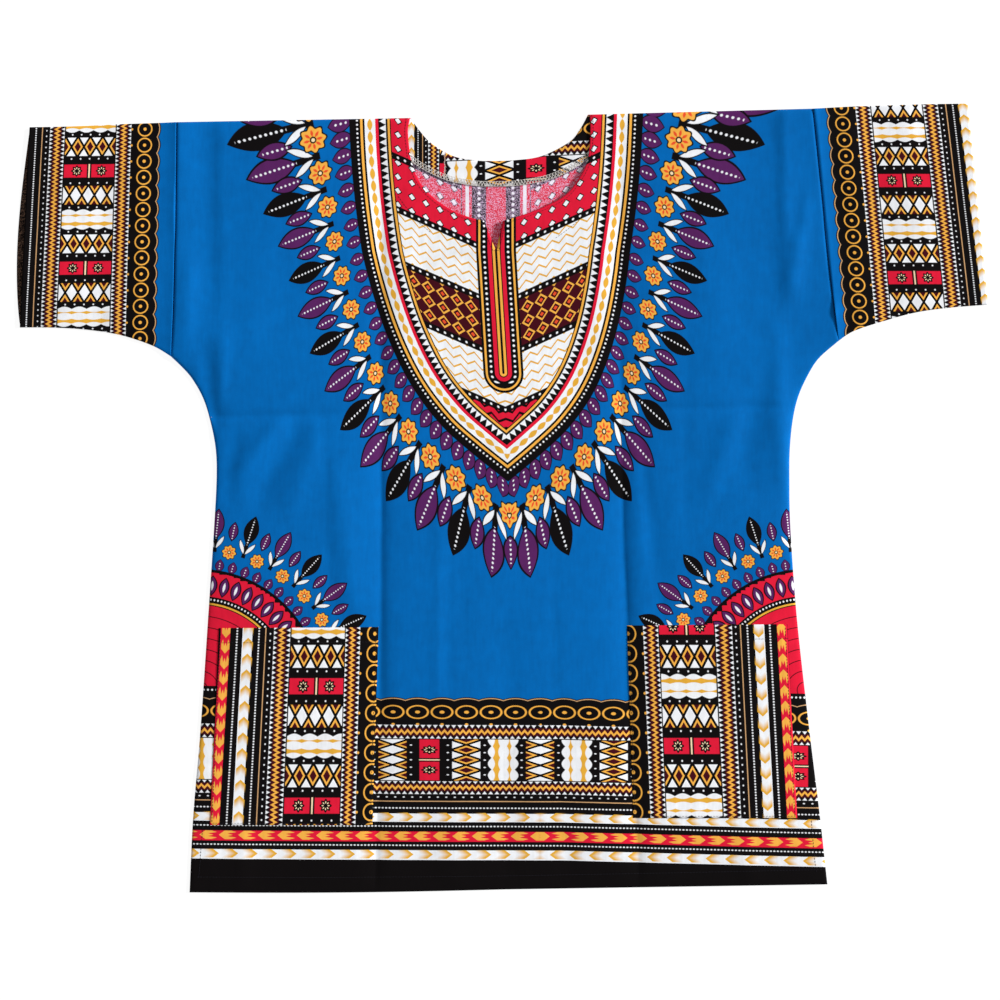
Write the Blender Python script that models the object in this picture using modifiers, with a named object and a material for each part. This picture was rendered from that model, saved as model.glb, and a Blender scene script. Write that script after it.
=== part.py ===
# Dashiki shirt laid flat on its back: X across the shirt, Y up to the neck, Z off the table
import math

import bmesh
import bpy

MM = 0.001

# Cloth and seams, in metres
CLOTH_WALL = 0.0012
SEAM_GAP = 0.0003
BACK_TOP = CLOTH_WALL
FRONT_TOP = 2 * CLOTH_WALL + SEAM_GAP
FACING_TOP = BACK_TOP + SEAM_GAP + CLOTH_WALL

# How the front rises off the back, in metres
PILLOW_RISE = 0.0024
PILLOW_REACH = 0.026
BODY_HALF_LENGTH = 0.388
NECK_RISE = 0.0016
NECK_RISE_FROM = 0.262
NECK_RISE_FULL = 0.300
NECK_RISE_HALF_WIDTH = 0.128
NECK_RISE_FADE = 0.030
HEM_BOW = 0.0016
HEM_BOW_POWER = 4
# Share of the rise that a sleeve keeps at its cuff
CUFF_RISE_SHARE = 0.45

# How far the left sleeve's back layer stands out past the front one at the cuff, in metres,
# from what share of the sleeve on, and how far the widest place lies from the middle
CUFF_PEEK = 0.0068
CUFF_PEEK_FROM = 5 / 6
CUFF_PEEK_LEAN = 0.8

# Side edges of the body from shoulder to hem, in millimetres, a row for each section
# columns: left x, left y, right x, right y
BODY_SECTIONS = (
    (-325.5, 376.0, 311.0, 389.5),
    (-326.4, 280.0, 321.0, 293.0),
    (-327.4, 246.0, 324.0, 258.0),
    (-328.8, 190.0, 331.0, 200.0),
    (-331.0, 141.5, 336.5, 157.0),
    (-318.0, 129.0, 317.0, 140.0),
    (-309.0, 118.0, 306.0, 123.0),
    (-299.0, 100.0, 296.5, 102.0),
    (-292.0, 78.0, 291.0, 79.0),
    (-286.5, 50.0, 288.0, 50.0),
    (-285.5, 20.0, 287.5, 20.0),
    (-288.0, -30.0, 288.5, -30.0),
    (-294.0, -120.0, 295.0, -120.0),
    (-301.5, -230.0, 307.0, -228.0),
    (-309.0, -320.0, 317.5, -314.0),
    (-312.5, -394.5, 325.5, -386.5),
)
UNDERARM_SECTION = 4
SLIT_TIP_SECTION = 2
# Sections that the lowest points of the two necklines stand at
FRONT_NECK_SECTION = 1.0
BACK_NECK_SECTION = 0.5
# Steps between the rows of points below the neckline, and where they grow finer
BODY_STEP = 0.5
FINE_STEP = 0.2
FINE_FROM_SECTION = 11
# Rows of points along the necklines and the slit
FRONT_NECK_ROWS = 16
SLIT_ROWS = 2
BACK_NECK_ROWS = 10

# Front neckline from shoulder to the top of the slit
# columns: left x, left y, right x, right y
FRONT_NECKLINE = (
    (-92.0, 380.0, 87.7, 383.5),
    (-94.0, 368.0, 88.3, 371.0),
    (-93.0, 353.0, 87.6, 352.0),
    (-90.0, 334.5, 84.6, 334.5),
    (-81.5, 314.6, 76.0, 318.0),
    (-67.0, 299.0, 63.0, 302.5),
    (-48.5, 287.0, 44.0, 292.0),
    (-32.0, 280.5, 24.0, 284.0),
    (-18.0, 277.0, 1.0, 277.0),
)
# Centre line below the neckline, slit tip to hem
# columns: x, y
CENTRE_LINE = ((-6.0, 247.0), (3.0, 100.0), (9.0, -60.0), (8.0, -220.0), (4.0, -391.5))

# Back neckline from shoulder to its lowest point
# columns: left x, left y, right x, right y
BACK_NECKLINE = (
    (-91.4, 380.2, 86.0, 383.5),
    (-82.0, 367.0, 78.0, 369.0),
    (-70.0, 354.4, 67.0, 356.0),
    (-48.5, 342.0, 39.0, 342.0),
    (-24.0, 337.6, 10.0, 337.8),
    (-7.0, 337.2, -7.0, 337.2),
)
# Lower edge of the facing, opposite the back neckline
# columns: left x, left y, right x, right y
FACING_EDGE = (
    (-118.0, 379.2, 112.0, 382.6),
    (-108.0, 355.0, 101.0, 356.0),
    (-91.0, 336.5, 83.0, 337.0),
    (-60.0, 319.5, 52.0, 320.0),
    (-30.0, 312.6, 18.0, 312.8),
    (-7.0, 311.6, -7.0, 311.6),
)

# Sleeves from the armhole seam to the cuff
# columns: top x, top y, underarm x, underarm y
LEFT_SLEEVE = (
    (-325.5, 376.0, -331.0, 141.5),
    (-352.0, 375.0, -350.0, 152.5),
    (-382.0, 374.0, -381.0, 162.8),
    (-412.0, 372.5, -414.0, 168.2),
    (-442.0, 371.5, -448.0, 170.4),
    (-472.5, 371.0, -482.2, 170.6),
)
RIGHT_SLEEVE = (
    (311.0, 389.5, 336.5, 157.0),
    (344.0, 391.4, 352.0, 167.0),
    (374.0, 392.4, 382.0, 177.0),
    (404.0, 393.4, 414.0, 185.6),
    (435.0, 394.2, 448.0, 190.4),
    (465.5, 394.6, 486.0, 193.4),
)

# Packing creases that run over the front, as soft troughs
# columns: start x, start y, end x, end y, depth as a share of the rise, reach
FRONT_CREASES = (
    (-119.0, 372.0, -119.0, -202.0, 0.80, 14.0),
    (-119.0, -202.0, -127.0, -392.0, 0.65, 14.0),
    (118.0, 372.0, 120.0, 8.0, 0.65, 14.0),
    (120.0, 8.0, 137.0, -388.0, 0.80, 14.0),
    (-288.0, 82.0, -119.0, 80.0, 0.45, 10.0),
    (120.0, 88.0, 290.0, 90.0, 0.45, 10.0),
)
CREASE_FADE = 0.045
# The two long creases, as lines from shoulder to hem that columns of points follow
LEFT_FOLD = ((-119.0, 380.0), (-119.0, -202.0), (-127.0, -393.0))
RIGHT_FOLD = ((118.0, 384.0), (120.0, 8.0), (137.0, -389.0))
# Share of the way from the side edge where a row is taken to cross the long crease
FOLD_GUESS = 0.6

# Pockets, corner by corner
# columns: x, y
LEFT_POCKET = ((-292.0, -327.0), (-129.5, -327.0), (-123.5, -129.0), (-283.0, -130.0))
RIGHT_POCKET = ((131.0, -320.0), (295.0, -320.0), (285.0, -126.0), (125.0, -127.5))

# Where the columns of points stand between two edges, as shares of the way
FLAT_COLUMNS = (0.0, 0.5, 1.0)
FLAT_INNER_COLUMNS = (0.0, 1.0)
OUTER_COLUMNS = (0.0, 0.03, 0.12, 0.28, 0.46, 0.64, 0.80, 0.92, 0.975, 1.0)
INNER_COLUMNS = (0.0, 0.05, 0.17, 0.40, 0.66, 0.88, 1.0)

# Columns of points round a sleeve and stations along it
SLEEVE_BACK_COLUMNS = 8
SLEEVE_FRONT_COLUMNS = 12
SLEEVE_FOLD_COLUMNS = 4
SLEEVE_STATIONS = 10
SLEEVE_LENGTH = 0.150
ARMHOLE_SAMPLES = 24

FACING_COLUMNS = 2
FACING_ROWS = 9
POCKET_COLUMNS = 10
POCKET_ROWS = 12

# Points closer than this are one, in metres
WELD = 0.00002
ROUGHNESS = 0.85

# Colours, linear red, green and blue
BLUE = (0.006, 0.165, 0.530)
INNER_FACE = (0.045, 0.170, 0.400)
BORDER = (0.050, 0.035, 0.030)
FACING_PRINT = (0.230, 0.050, 0.035)


def through(rows, at):
    """A smooth curve through the rows, at a row number that may lie between two of them."""
    last = len(rows) - 1
    at = min(max(at, 0.0), float(last))
    row = min(int(at), last - 1)
    share = at - row
    before = rows[max(row - 1, 0)]
    after = rows[min(row + 2, last)]
    values = []
    for a, b, c, d in zip(before, rows[row], rows[row + 1], after):
        slope_b = (c - a) / 2
        slope_c = (d - b) / 2
        cube = 2 * (b - c) + slope_b + slope_c
        square = 3 * (c - b) - 2 * slope_b - slope_c
        values.append(((cube * share + square) * share + slope_b) * share + b)
    return values


def side_edges(at):
    """Left and right edge of the body at a section, with a sharp corner under the arm."""
    if at <= UNDERARM_SECTION:
        return through(BODY_SECTIONS[: UNDERARM_SECTION + 1], at)
    return through(BODY_SECTIONS[UNDERARM_SECTION:], at - UNDERARM_SECTION)


def line_x(points, y):
    """The x of a line of points from top to bottom, at a height y."""
    for (x0, y0), (x1, y1) in zip(points, points[1:]):
        if y >= y1 or (x1, y1) == points[-1]:
            return x0 + (x1 - x0) * (y - y0) / (y1 - y0)
    return points[-1][0]


def side_line(side):
    column = 0 if side < 0 else 2
    return [(row[column], row[column + 1]) for row in BODY_SECTIONS]


def smooth(value):
    """Zero below 0, one above 1, and an even climb between."""
    value = min(max(value, 0.0), 1.0)
    return value * value * (3 - 2 * value)


def pillow(distance):
    return 1 - math.exp(-max(distance, 0.0) / PILLOW_REACH)


def crease_share(x, y):
    """How much of the front's rise the packing creases leave at a point."""
    left = 1.0
    for x0, y0, x1, y1, deep, reach in FRONT_CREASES:
        length = math.hypot(x1 - x0, y1 - y0) * MM
        along_x = (x1 - x0) * MM / length
        along_y = (y1 - y0) * MM / length
        out_x = x - x0 * MM
        out_y = y - y0 * MM
        along = out_x * along_x + out_y * along_y
        across = abs(out_x * along_y - out_y * along_x)
        ends = smooth((along + CREASE_FADE) / CREASE_FADE)
        ends *= smooth((length + CREASE_FADE - along) / CREASE_FADE)
        left = min(left, 1 - deep * ends * math.exp(-across / (reach * MM)))
    return left


def neck_rise(x, y):
    """How far the front stands up over the facing, round the neck."""
    climb = smooth((y - NECK_RISE_FROM) / (NECK_RISE_FULL - NECK_RISE_FROM))
    inside = smooth((NECK_RISE_HALF_WIDTH + NECK_RISE_FADE - abs(x)) / NECK_RISE_FADE)
    return NECK_RISE * climb * inside


def front_height(x, y):
    """Height of the front's outer face over the table."""
    rise = pillow(BODY_HALF_LENGTH - abs(y))
    for side in (-1, 1):
        rise *= pillow(abs(x - line_x(side_line(side), y / MM) * MM))
    return FRONT_TOP + PILLOW_RISE * rise * crease_share(x, y) + neck_rise(x, y)


def sheet_mesh(name, columns, rows, place):
    """An open surface, a grid of faces whose points place(column, row) puts in space."""
    bm = bmesh.new()
    bmesh.ops.create_grid(bm, x_segments=columns, y_segments=rows, size=0.5)
    for vert in bm.verts:
        column = round((vert.co.x + 0.5) * columns)
        row = round((0.5 - vert.co.y) * rows)
        vert.co = place(column, row)
    mesh = bpy.data.meshes.new(name)
    bm.to_mesh(mesh)
    bm.free()
    return mesh


def fabric(name, colour):
    material = bpy.data.materials.new(name)
    material.use_nodes = True
    shader = material.node_tree.nodes["Principled BSDF"]
    shader.inputs["Base Color"].default_value = (*colour, 1.0)
    shader.inputs["Roughness"].default_value = ROUGHNESS
    shader.inputs["Metallic"].default_value = 0.0
    material.diffuse_color = (*colour, 1.0)
    return material


def cloth(name, meshes, material, walled=True):
    """One piece of cloth: the surfaces welded where they meet, with a wall under an open one."""
    bm = bmesh.new()
    for mesh in meshes:
        bm.from_mesh(mesh)
        bpy.data.meshes.remove(mesh)
    bmesh.ops.remove_doubles(bm, verts=bm.verts, dist=WELD)
    mesh = bpy.data.meshes.new(name)
    bm.to_mesh(mesh)
    bm.free()
    mesh.materials.append(material)
    mesh.shade_smooth()
    piece = bpy.data.objects.new(name, mesh)
    shirt.objects.link(piece)
    if walled:
        wall = piece.modifiers.new("wall", "SOLIDIFY")
        wall.thickness = CLOTH_WALL
        wall.offset = -1.0
    return piece


def between(start, end, share):
    return [a + (b - a) * share for a, b in zip(start, end)]


def zone_columns(side_of_fold, columns):
    return [(side_of_fold, share) for share in columns]


def body_half(name, side, neckline, neck_steps, slit_steps, height, columns_out, columns_in):
    """Half of a body panel: from its side edge over the fold line to the neckline and centre."""
    rows = []
    last_neck = len(neckline) - 1
    neck_section = FRONT_NECK_SECTION if slit_steps else BACK_NECK_SECTION
    pair = 0 if side < 0 else 2
    for step in range(neck_steps):
        share = step / neck_steps
        inner = through(neckline, share * last_neck)[pair:pair + 2]
        rows.append((neck_section * share, inner))
    if slit_steps:
        top = neckline[-1][pair:pair + 2]
        for step in range(slit_steps):
            share = step / slit_steps
            section = neck_section + (SLIT_TIP_SECTION - neck_section) * share
            rows.append((section, between(top, CENTRE_LINE[0], share)))
        start_y = CENTRE_LINE[0][1]
        first_section = float(SLIT_TIP_SECTION)
    else:
        start_y = neckline[-1][1]
        first_section = neck_section
    last_section = len(BODY_SECTIONS) - 1
    for section in below_sections(first_section, last_section):
        edges = side_edges(section)
        first = side_edges(first_section)
        middle = (edges[1] + edges[3]) / 2
        first_middle = (first[1] + first[3]) / 2
        hem = side_edges(last_section)
        hem_middle = (hem[1] + hem[3]) / 2
        share = (first_middle - middle) / (first_middle - hem_middle)
        y = start_y + (CENTRE_LINE[-1][1] - start_y) * share
        x = line_x(CENTRE_LINE, y) if slit_steps else back_centre(y, start_y)
        rows.append((section, (x, y)))

    fold = LEFT_FOLD if side < 0 else RIGHT_FOLD
    if side < 0:
        columns = zone_columns(0, columns_out[:-1]) + zone_columns(1, columns_in)
    else:
        columns = zone_columns(1, [1 - share for share in reversed(columns_in)])
        columns += zone_columns(0, [1 - share for share in reversed(columns_out)][1:])

    def place(column, row):
        section, inner = rows[row]
        outer = side_edges(section)[pair:pair + 2]
        zone, share = columns[column]
        guess = outer[1] + (inner[1] - outer[1]) * FOLD_GUESS
        fold_x = line_x(fold, guess)
        fold_share = (fold_x - outer[0]) / (inner[0] - outer[0])
        at_fold = (fold_x, outer[1] + (inner[1] - outer[1]) * fold_share)
        if side < 0:
            start, end = (outer, at_fold) if zone == 0 else (at_fold, inner)
        else:
            start, end = (at_fold, outer) if zone == 0 else (inner, at_fold)
        x, y = between(start, end, share)
        across = (x - outer[0]) / (inner[0] - outer[0])
        x = x * MM
        y = y * MM
        if side < 0:
            y -= HEM_BOW * math.sin(math.pi * across) * (section / last_section) ** HEM_BOW_POWER
        if column == (0 if side < 0 else len(columns) - 1):
            x -= side * SEAM_GAP / 2
        return (x, y, height(x, y))

    return sheet_mesh(name, len(columns) - 1, len(rows) - 1, place)


def back_centre(y, start_y):
    """The back's centre line, from under its neckline to the front's centre at the hem."""
    share = (start_y - y) / (start_y - CENTRE_LINE[-1][1])
    start_x = BACK_NECKLINE[-1][0]
    return start_x + (CENTRE_LINE[-1][0] - start_x) * share


def below_sections(first, last):
    """The sections under the neckline, close together round the underarm and further apart below."""
    steps = []
    section = first
    while section < last - 0.01:
        steps.append(section)
        if section < UNDERARM_SECTION:
            section = min(section + 1.0, float(UNDERARM_SECTION)) if section >= 1 else 1.0
        elif section < FINE_FROM_SECTION:
            section += BODY_STEP
        else:
            section += FINE_STEP
    steps.append(float(last))
    return steps


def armhole_bow(side, height_share):
    """How far the armhole seam bows from a straight line, from 0 under the arm to 1 at the shoulder."""
    pair = 0 if side < 0 else 2
    x, y = side_edges(UNDERARM_SECTION * (1 - height_share))[pair:pair + 2]
    top_x, top_y = BODY_SECTIONS[0][pair:pair + 2]
    under_x, under_y = BODY_SECTIONS[UNDERARM_SECTION][pair:pair + 2]
    straight = under_x + (top_x - under_x) * (y - under_y) / (top_y - under_y)
    return (x - straight) * MM, (y - under_y) / (top_y - under_y)


def bow_at(side, share):
    """The armhole seam's bow at a share of the way up it."""
    samples = [armhole_bow(side, step / ARMHOLE_SAMPLES) for step in range(ARMHOLE_SAMPLES + 1)]
    for (bow0, share0), (bow1, share1) in zip(samples, samples[1:]):
        if share <= share1:
            return bow0 + (bow1 - bow0) * max(share - share0, 0.0) / (share1 - share0)
    return samples[-1][0]


def sleeve(name, sections, side, material):
    """A sleeve of one cloth: a flattened tube, folded at the top, with the same wall all round."""
    loop = SLEEVE_BACK_COLUMNS + SLEEVE_FRONT_COLUMNS + 2 * SLEEVE_FOLD_COLUMNS
    radius = FRONT_TOP / 2
    last = 2 * SLEEVE_STATIONS + 2

    def place(column, row):
        column = column if side < 0 else loop - column
        outside = row <= SLEEVE_STATIONS or row == last
        inset = 0.0 if outside else CLOTH_WALL
        station = (0 if row == last else row) if outside else 2 * SLEEVE_STATIONS + 1 - row
        share = station / SLEEVE_STATIONS
        top_x, top_y, under_x, under_y = through(sections, share * (len(sections) - 1))
        width = math.hypot(top_x - under_x, top_y - under_y) * MM
        along = ((top_x - under_x) * MM / width, (top_y - under_y) * MM / width)

        def put(up, height, peek=0.0):
            x = under_x * MM + along[0] * up + side * (peek + SEAM_GAP / 2 * (1 - share))
            x += bow_at(side, up / width) * (1 - share)
            return (x, under_y * MM + along[1] * up, height)

        if column <= SLEEVE_BACK_COLUMNS:
            part = column / SLEEVE_BACK_COLUMNS
            peek = CUFF_PEEK if side < 0 else 0.0
            peek *= math.sin(math.pi * part ** CUFF_PEEK_LEAN)
            peek *= smooth((share - CUFF_PEEK_FROM) / (1 - CUFF_PEEK_FROM))
            return put(radius + (width - 2 * radius) * part, inset, peek)
        column -= SLEEVE_BACK_COLUMNS
        if column < SLEEVE_FOLD_COLUMNS:
            angle = math.pi * column / SLEEVE_FOLD_COLUMNS
            out = radius - inset
            return put(width - radius + out * math.sin(angle), radius - out * math.cos(angle))
        column -= SLEEVE_FOLD_COLUMNS
        if column <= SLEEVE_FRONT_COLUMNS:
            part = 1 - column / SLEEVE_FRONT_COLUMNS
            up = radius + (width - 2 * radius) * part
            rise = pillow(up) * pillow(width - up) * pillow(share * SLEEVE_LENGTH)
            rise *= CUFF_RISE_SHARE + (1 - CUFF_RISE_SHARE) * pillow((1 - share) * SLEEVE_LENGTH)
            return put(up, FRONT_TOP + PILLOW_RISE * rise - inset)
        column -= SLEEVE_FRONT_COLUMNS
        angle = math.pi * column / SLEEVE_FOLD_COLUMNS
        out = radius - inset
        return put(radius - out * math.sin(angle), radius + out * math.cos(angle))

    return cloth(name, [sheet_mesh(name, loop, last, place)], material, walled=False)


def facing_mesh(name, side):
    """Half of the facing, between the back neckline and its lower edge."""
    pair = 0 if side < 0 else 2

    def place(column, row):
        at = row / FACING_ROWS * (len(BACK_NECKLINE) - 1)
        upper = through(BACK_NECKLINE, at)[pair:pair + 2]
        lower = through(FACING_EDGE, at)[pair:pair + 2]
        share = column / FACING_COLUMNS
        if side < 0:
            share = 1 - share
        x, y = between(upper, lower, share)
        return (x * MM, y * MM, FACING_TOP)

    return sheet_mesh(name, FACING_COLUMNS, FACING_ROWS, place)


def pocket(name, corners, material):
    """A patch pocket, from the front's own heights moved out."""
    low_left, low_right, high_right, high_left = corners

    def place(column, row):
        low = between(low_left, low_right, column / POCKET_COLUMNS)
        high = between(high_left, high_right, column / POCKET_COLUMNS)
        x, y = between(high, low, row / POCKET_ROWS)
        x = x * MM
        y = y * MM
        return (x, y, front_height(x, y) + SEAM_GAP + CLOTH_WALL)

    return cloth(name, [sheet_mesh(name, POCKET_COLUMNS, POCKET_ROWS, place)], material)


for old in list(bpy.data.objects):
    bpy.data.objects.remove(old)

shirt = bpy.data.collections.new("dashiki_shirt")
bpy.context.scene.collection.children.link(shirt)

blue_print = fabric("blue_print", BLUE)
inner_face = fabric("inner_face", INNER_FACE)
border_print = fabric("border_print", BORDER)
facing_print = fabric("facing_print", FACING_PRINT)

back_halves = [
    body_half(
        f"back_{side}", side, BACK_NECKLINE, BACK_NECK_ROWS, 0, lambda x, y: BACK_TOP, FLAT_COLUMNS, FLAT_INNER_COLUMNS
    )
    for side in (-1, 1)
]
cloth("back_body", back_halves, inner_face)

front_halves = [
    body_half(
        f"front_{side}", side, FRONT_NECKLINE, FRONT_NECK_ROWS, SLIT_ROWS, front_height, OUTER_COLUMNS, INNER_COLUMNS
    )
    for side in (-1, 1)
]
cloth("front_body", front_halves, blue_print)

sleeve("left_sleeve", LEFT_SLEEVE, -1, border_print)
sleeve("right_sleeve", RIGHT_SLEEVE, 1, border_print)

cloth("back_neck_facing", [facing_mesh("facing_left", -1), facing_mesh("facing_right", 1)], facing_print)

pocket("left_pocket", LEFT_POCKET, border_print)
pocket("right_pocket", RIGHT_POCKET, border_print)
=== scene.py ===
import math
import bpy
import numpy as np
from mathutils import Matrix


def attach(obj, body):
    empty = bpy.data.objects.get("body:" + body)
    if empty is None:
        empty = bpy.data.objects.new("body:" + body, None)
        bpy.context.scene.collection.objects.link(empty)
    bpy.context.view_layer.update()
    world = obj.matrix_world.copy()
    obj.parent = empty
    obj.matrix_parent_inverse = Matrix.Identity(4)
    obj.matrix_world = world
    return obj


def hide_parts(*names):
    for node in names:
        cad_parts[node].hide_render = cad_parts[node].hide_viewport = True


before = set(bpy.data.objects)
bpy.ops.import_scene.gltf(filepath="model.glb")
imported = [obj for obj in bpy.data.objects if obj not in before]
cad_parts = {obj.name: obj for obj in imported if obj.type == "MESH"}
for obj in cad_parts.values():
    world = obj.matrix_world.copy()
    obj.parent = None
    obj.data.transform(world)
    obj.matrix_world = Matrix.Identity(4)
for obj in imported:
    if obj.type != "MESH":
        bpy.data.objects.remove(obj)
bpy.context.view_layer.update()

mm = 0.001
print("frame loaded:", sorted(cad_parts))

# the picture's own frame: 1 mm to a pixel, and the pixel that stands over the origin
picture = {"metresPerPixel": 0.001, "originX": 502.0, "originY": 498.0, "side": 1000}

cloth = {
    "wall": 0.0012,          # the solids' wall
    "seamGap": 0.0003,
    "thickness": 0.00045,    # the cloth that shows
    "pillowRise": 0.0024,    # how far the front stands off the back, and how near an edge that starts
    "pillowReach": 0.026,
    "bodyHalfLength": 0.388,
    "neckRise": -0.0004,     # the cloth settles a little round the neck
    "neckRiseFrom": 0.262,
    "neckRiseFull": 0.300,
    "neckHalfWidth": 0.128,
    "neckFade": 0.030,
    "foldStrength": 2.1,
}
frontTop = 2 * cloth["wall"] + cloth["seamGap"]

# side edges of the body in mm, shoulder to hem: left x, left y, right x, right y
bodySections = (
    (-325.5, 376.0, 311.0, 389.5),
    (-326.4, 280.0, 321.0, 293.0),
    (-327.4, 246.0, 324.0, 258.0),
    (-328.8, 190.0, 331.0, 200.0),
    (-331.0, 141.5, 336.5, 157.0),
    (-318.0, 129.0, 317.0, 140.0),
    (-309.0, 118.0, 306.0, 123.0),
    (-299.0, 100.0, 296.5, 102.0),
    (-292.0, 78.0, 291.0, 79.0),
    (-286.5, 50.0, 288.0, 50.0),
    (-285.5, 20.0, 287.5, 20.0),
    (-288.0, -30.0, 288.5, -30.0),
    (-294.0, -120.0, 295.0, -120.0),
    (-301.5, -230.0, 307.0, -228.0),
    (-309.0, -320.0, 317.5, -314.0),
    (-312.5, -394.5, 325.5, -386.5),
)
underarmSection = 4    # the row under the arm, and the one at the slit's tip
slitTipSection = 2
hemBow = 0.0016        # how far the left half of the hem sags

# front neckline in mm, shoulder to the top of the slit: left x, left y, right x, right y
frontNeckline = (
    (-92.0, 380.0, 87.7, 383.5),
    (-94.0, 368.0, 88.3, 371.0),
    (-93.0, 353.0, 87.6, 352.0),
    (-90.0, 334.5, 84.6, 334.5),
    (-81.5, 314.6, 76.0, 318.0),
    (-67.0, 299.0, 63.0, 302.5),
    (-48.5, 287.0, 44.0, 292.0),
    (-32.0, 280.5, 24.0, 284.0),
    (-18.0, 277.0, 1.0, 277.0),
)
centreLine = ((-6.0, 247.0), (3.0, 100.0), (9.0, -60.0), (8.0, -220.0), (4.0, -391.5))
backNeckline = (
    (-91.4, 380.2, 86.0, 383.5),
    (-82.0, 367.0, 78.0, 369.0),
    (-70.0, 354.4, 67.0, 356.0),
    (-48.5, 342.0, 39.0, 342.0),
    (-24.0, 337.6, 10.0, 337.8),
    (-7.0, 337.2, -7.0, 337.2),
)
facingEdge = (
    (-118.0, 379.2, 112.0, 382.6),
    (-108.0, 355.0, 101.0, 356.0),
    (-91.0, 336.5, 83.0, 337.0),
    (-60.0, 319.5, 52.0, 320.0),
    (-30.0, 312.6, 18.0, 312.8),
    (-7.0, 311.6, -7.0, 311.6),
)
# sleeves in mm, armhole to cuff: top x, top y, underarm x, underarm y
leftSleeveSections = (
    (-325.5, 376.0, -331.0, 141.5),
    (-352.0, 375.0, -350.0, 152.5),
    (-382.0, 374.0, -381.0, 162.8),
    (-412.0, 372.5, -414.0, 168.2),
    (-442.0, 371.5, -448.0, 170.4),
    (-472.5, 371.0, -482.2, 170.6),
)
rightSleeveSections = (
    (311.0, 389.5, 336.5, 157.0),
    (344.0, 391.4, 352.0, 167.0),
    (374.0, 392.4, 382.0, 177.0),
    (404.0, 393.4, 414.0, 185.6),
    (435.0, 394.2, 448.0, 190.4),
    (465.5, 394.6, 486.0, 193.4),
)
leftPocketCorners = ((-292.0, -327.0), (-129.5, -327.0), (-123.5, -129.0), (-283.0, -130.0))
rightPocketCorners = ((131.0, -320.0), (295.0, -320.0), (285.0, -126.0), (125.0, -127.5))
leftFold = ((-119.0, 380.0), (-119.0, -202.0), (-127.0, -393.0))
rightFold = ((118.0, 384.0), (120.0, 8.0), (137.0, -389.0))

# creases left by packing, in mm: start x, start y, end x, end y, share of the rise taken, reach
packingCreases = (
    (-119.0, 372.0, -119.0, -202.0, 0.80, 14.0),
    (-119.0, -202.0, -127.0, -392.0, 0.65, 14.0),
    (118.0, 372.0, 120.0, 8.0, 0.65, 14.0),
    (120.0, 8.0, 137.0, -388.0, 0.80, 14.0),
    (-288.0, 82.0, -119.0, 80.0, 0.45, 10.0),
    (120.0, 88.0, 290.0, 90.0, 0.45, 10.0),
)
creaseFade = 0.045     # how far past its ends a crease runs out


def through(rows, at):
    # a smooth curve through a table's rows (Catmull and Rom's cubic), at row numbers given as an array
    rows = np.asarray(rows, float)
    last = len(rows) - 1
    at = np.clip(np.atleast_1d(np.asarray(at, float)), 0, last)
    row = np.minimum(at.astype(int), last - 1)
    share = (at - row)[:, None]
    a = rows[np.maximum(row - 1, 0)]
    b = rows[row]
    c = rows[row + 1]
    d = rows[np.minimum(row + 2, last)]
    slopeB = (c - a) / 2
    slopeC = (d - b) / 2
    cube = 2 * (b - c) + slopeB + slopeC
    square = 3 * (c - b) - 2 * slopeB - slopeC
    return ((cube * share + square) * share + slopeB) * share + b


def sideEdges(at):
    # the body's side edges at section numbers, with a sharp corner under the arm
    upper = through(bodySections[: underarmSection + 1], np.minimum(at, underarmSection))
    lower = through(bodySections[underarmSection:], np.maximum(at - underarmSection, 0))
    return np.where(at[:, None] <= underarmSection, upper, lower)


def lineX(points, y):
    # the x of a line of points that runs down the cloth, at heights y
    table = np.asarray(points, float)
    return np.interp(-np.asarray(y), -table[:, 1], table[:, 0])


def smooth(value):
    # an even step from 0 to 1: three squares less two cubes
    value = np.clip(value, 0, 1)
    return value * value * (3 - 2 * value)


def pillow(distance):
    # 0 at an edge, and nearer 1 the farther from it
    return 1 - np.exp(-np.maximum(distance, 0) / cloth["pillowReach"])


def toPixels(x, y):
    # a place on the shirt as the picture's pixels
    return x / mm + picture["originX"], picture["originY"] - y / mm


def alongAndAcross(x, y, start, end):
    # how far points lie along a straight line from its start, and across it, in metres
    length = math.hypot(end[0] - start[0], end[1] - start[1]) * mm
    ux, uy = (end[0] - start[0]) * mm / length, (end[1] - start[1]) * mm / length
    outX, outY = x - start[0] * mm, y - start[1] * mm
    return outX * ux + outY * uy, outX * uy - outY * ux, length


def frontHeight(x, y):
    # the front's outer face: it rises off the back between its edges and dips along the packing creases
    table = np.asarray(bodySections)
    rise = pillow(cloth["bodyHalfLength"] - np.abs(y))
    rise = rise * pillow(np.abs(x - lineX(table[:, :2], y / mm) * mm))
    rise = rise * pillow(np.abs(x - lineX(table[:, 2:], y / mm) * mm))
    left = np.ones_like(x)
    for x0, y0, x1, y1, deep, reach in packingCreases:
        along, across, length = alongAndAcross(x, y, (x0, y0), (x1, y1))
        ends = smooth((along + creaseFade) / creaseFade) * smooth((length + creaseFade - along) / creaseFade)
        left = np.minimum(left, 1 - deep * ends * np.exp(-np.abs(across) / (reach * mm)))
    climb = smooth((y - cloth["neckRiseFrom"]) / (cloth["neckRiseFull"] - cloth["neckRiseFrom"]))
    inside = smooth((cloth["neckHalfWidth"] + cloth["neckFade"] - np.abs(x)) / cloth["neckFade"])
    return frontTop + cloth["pillowRise"] * rise * left + cloth["neckRise"] * climb * inside


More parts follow.
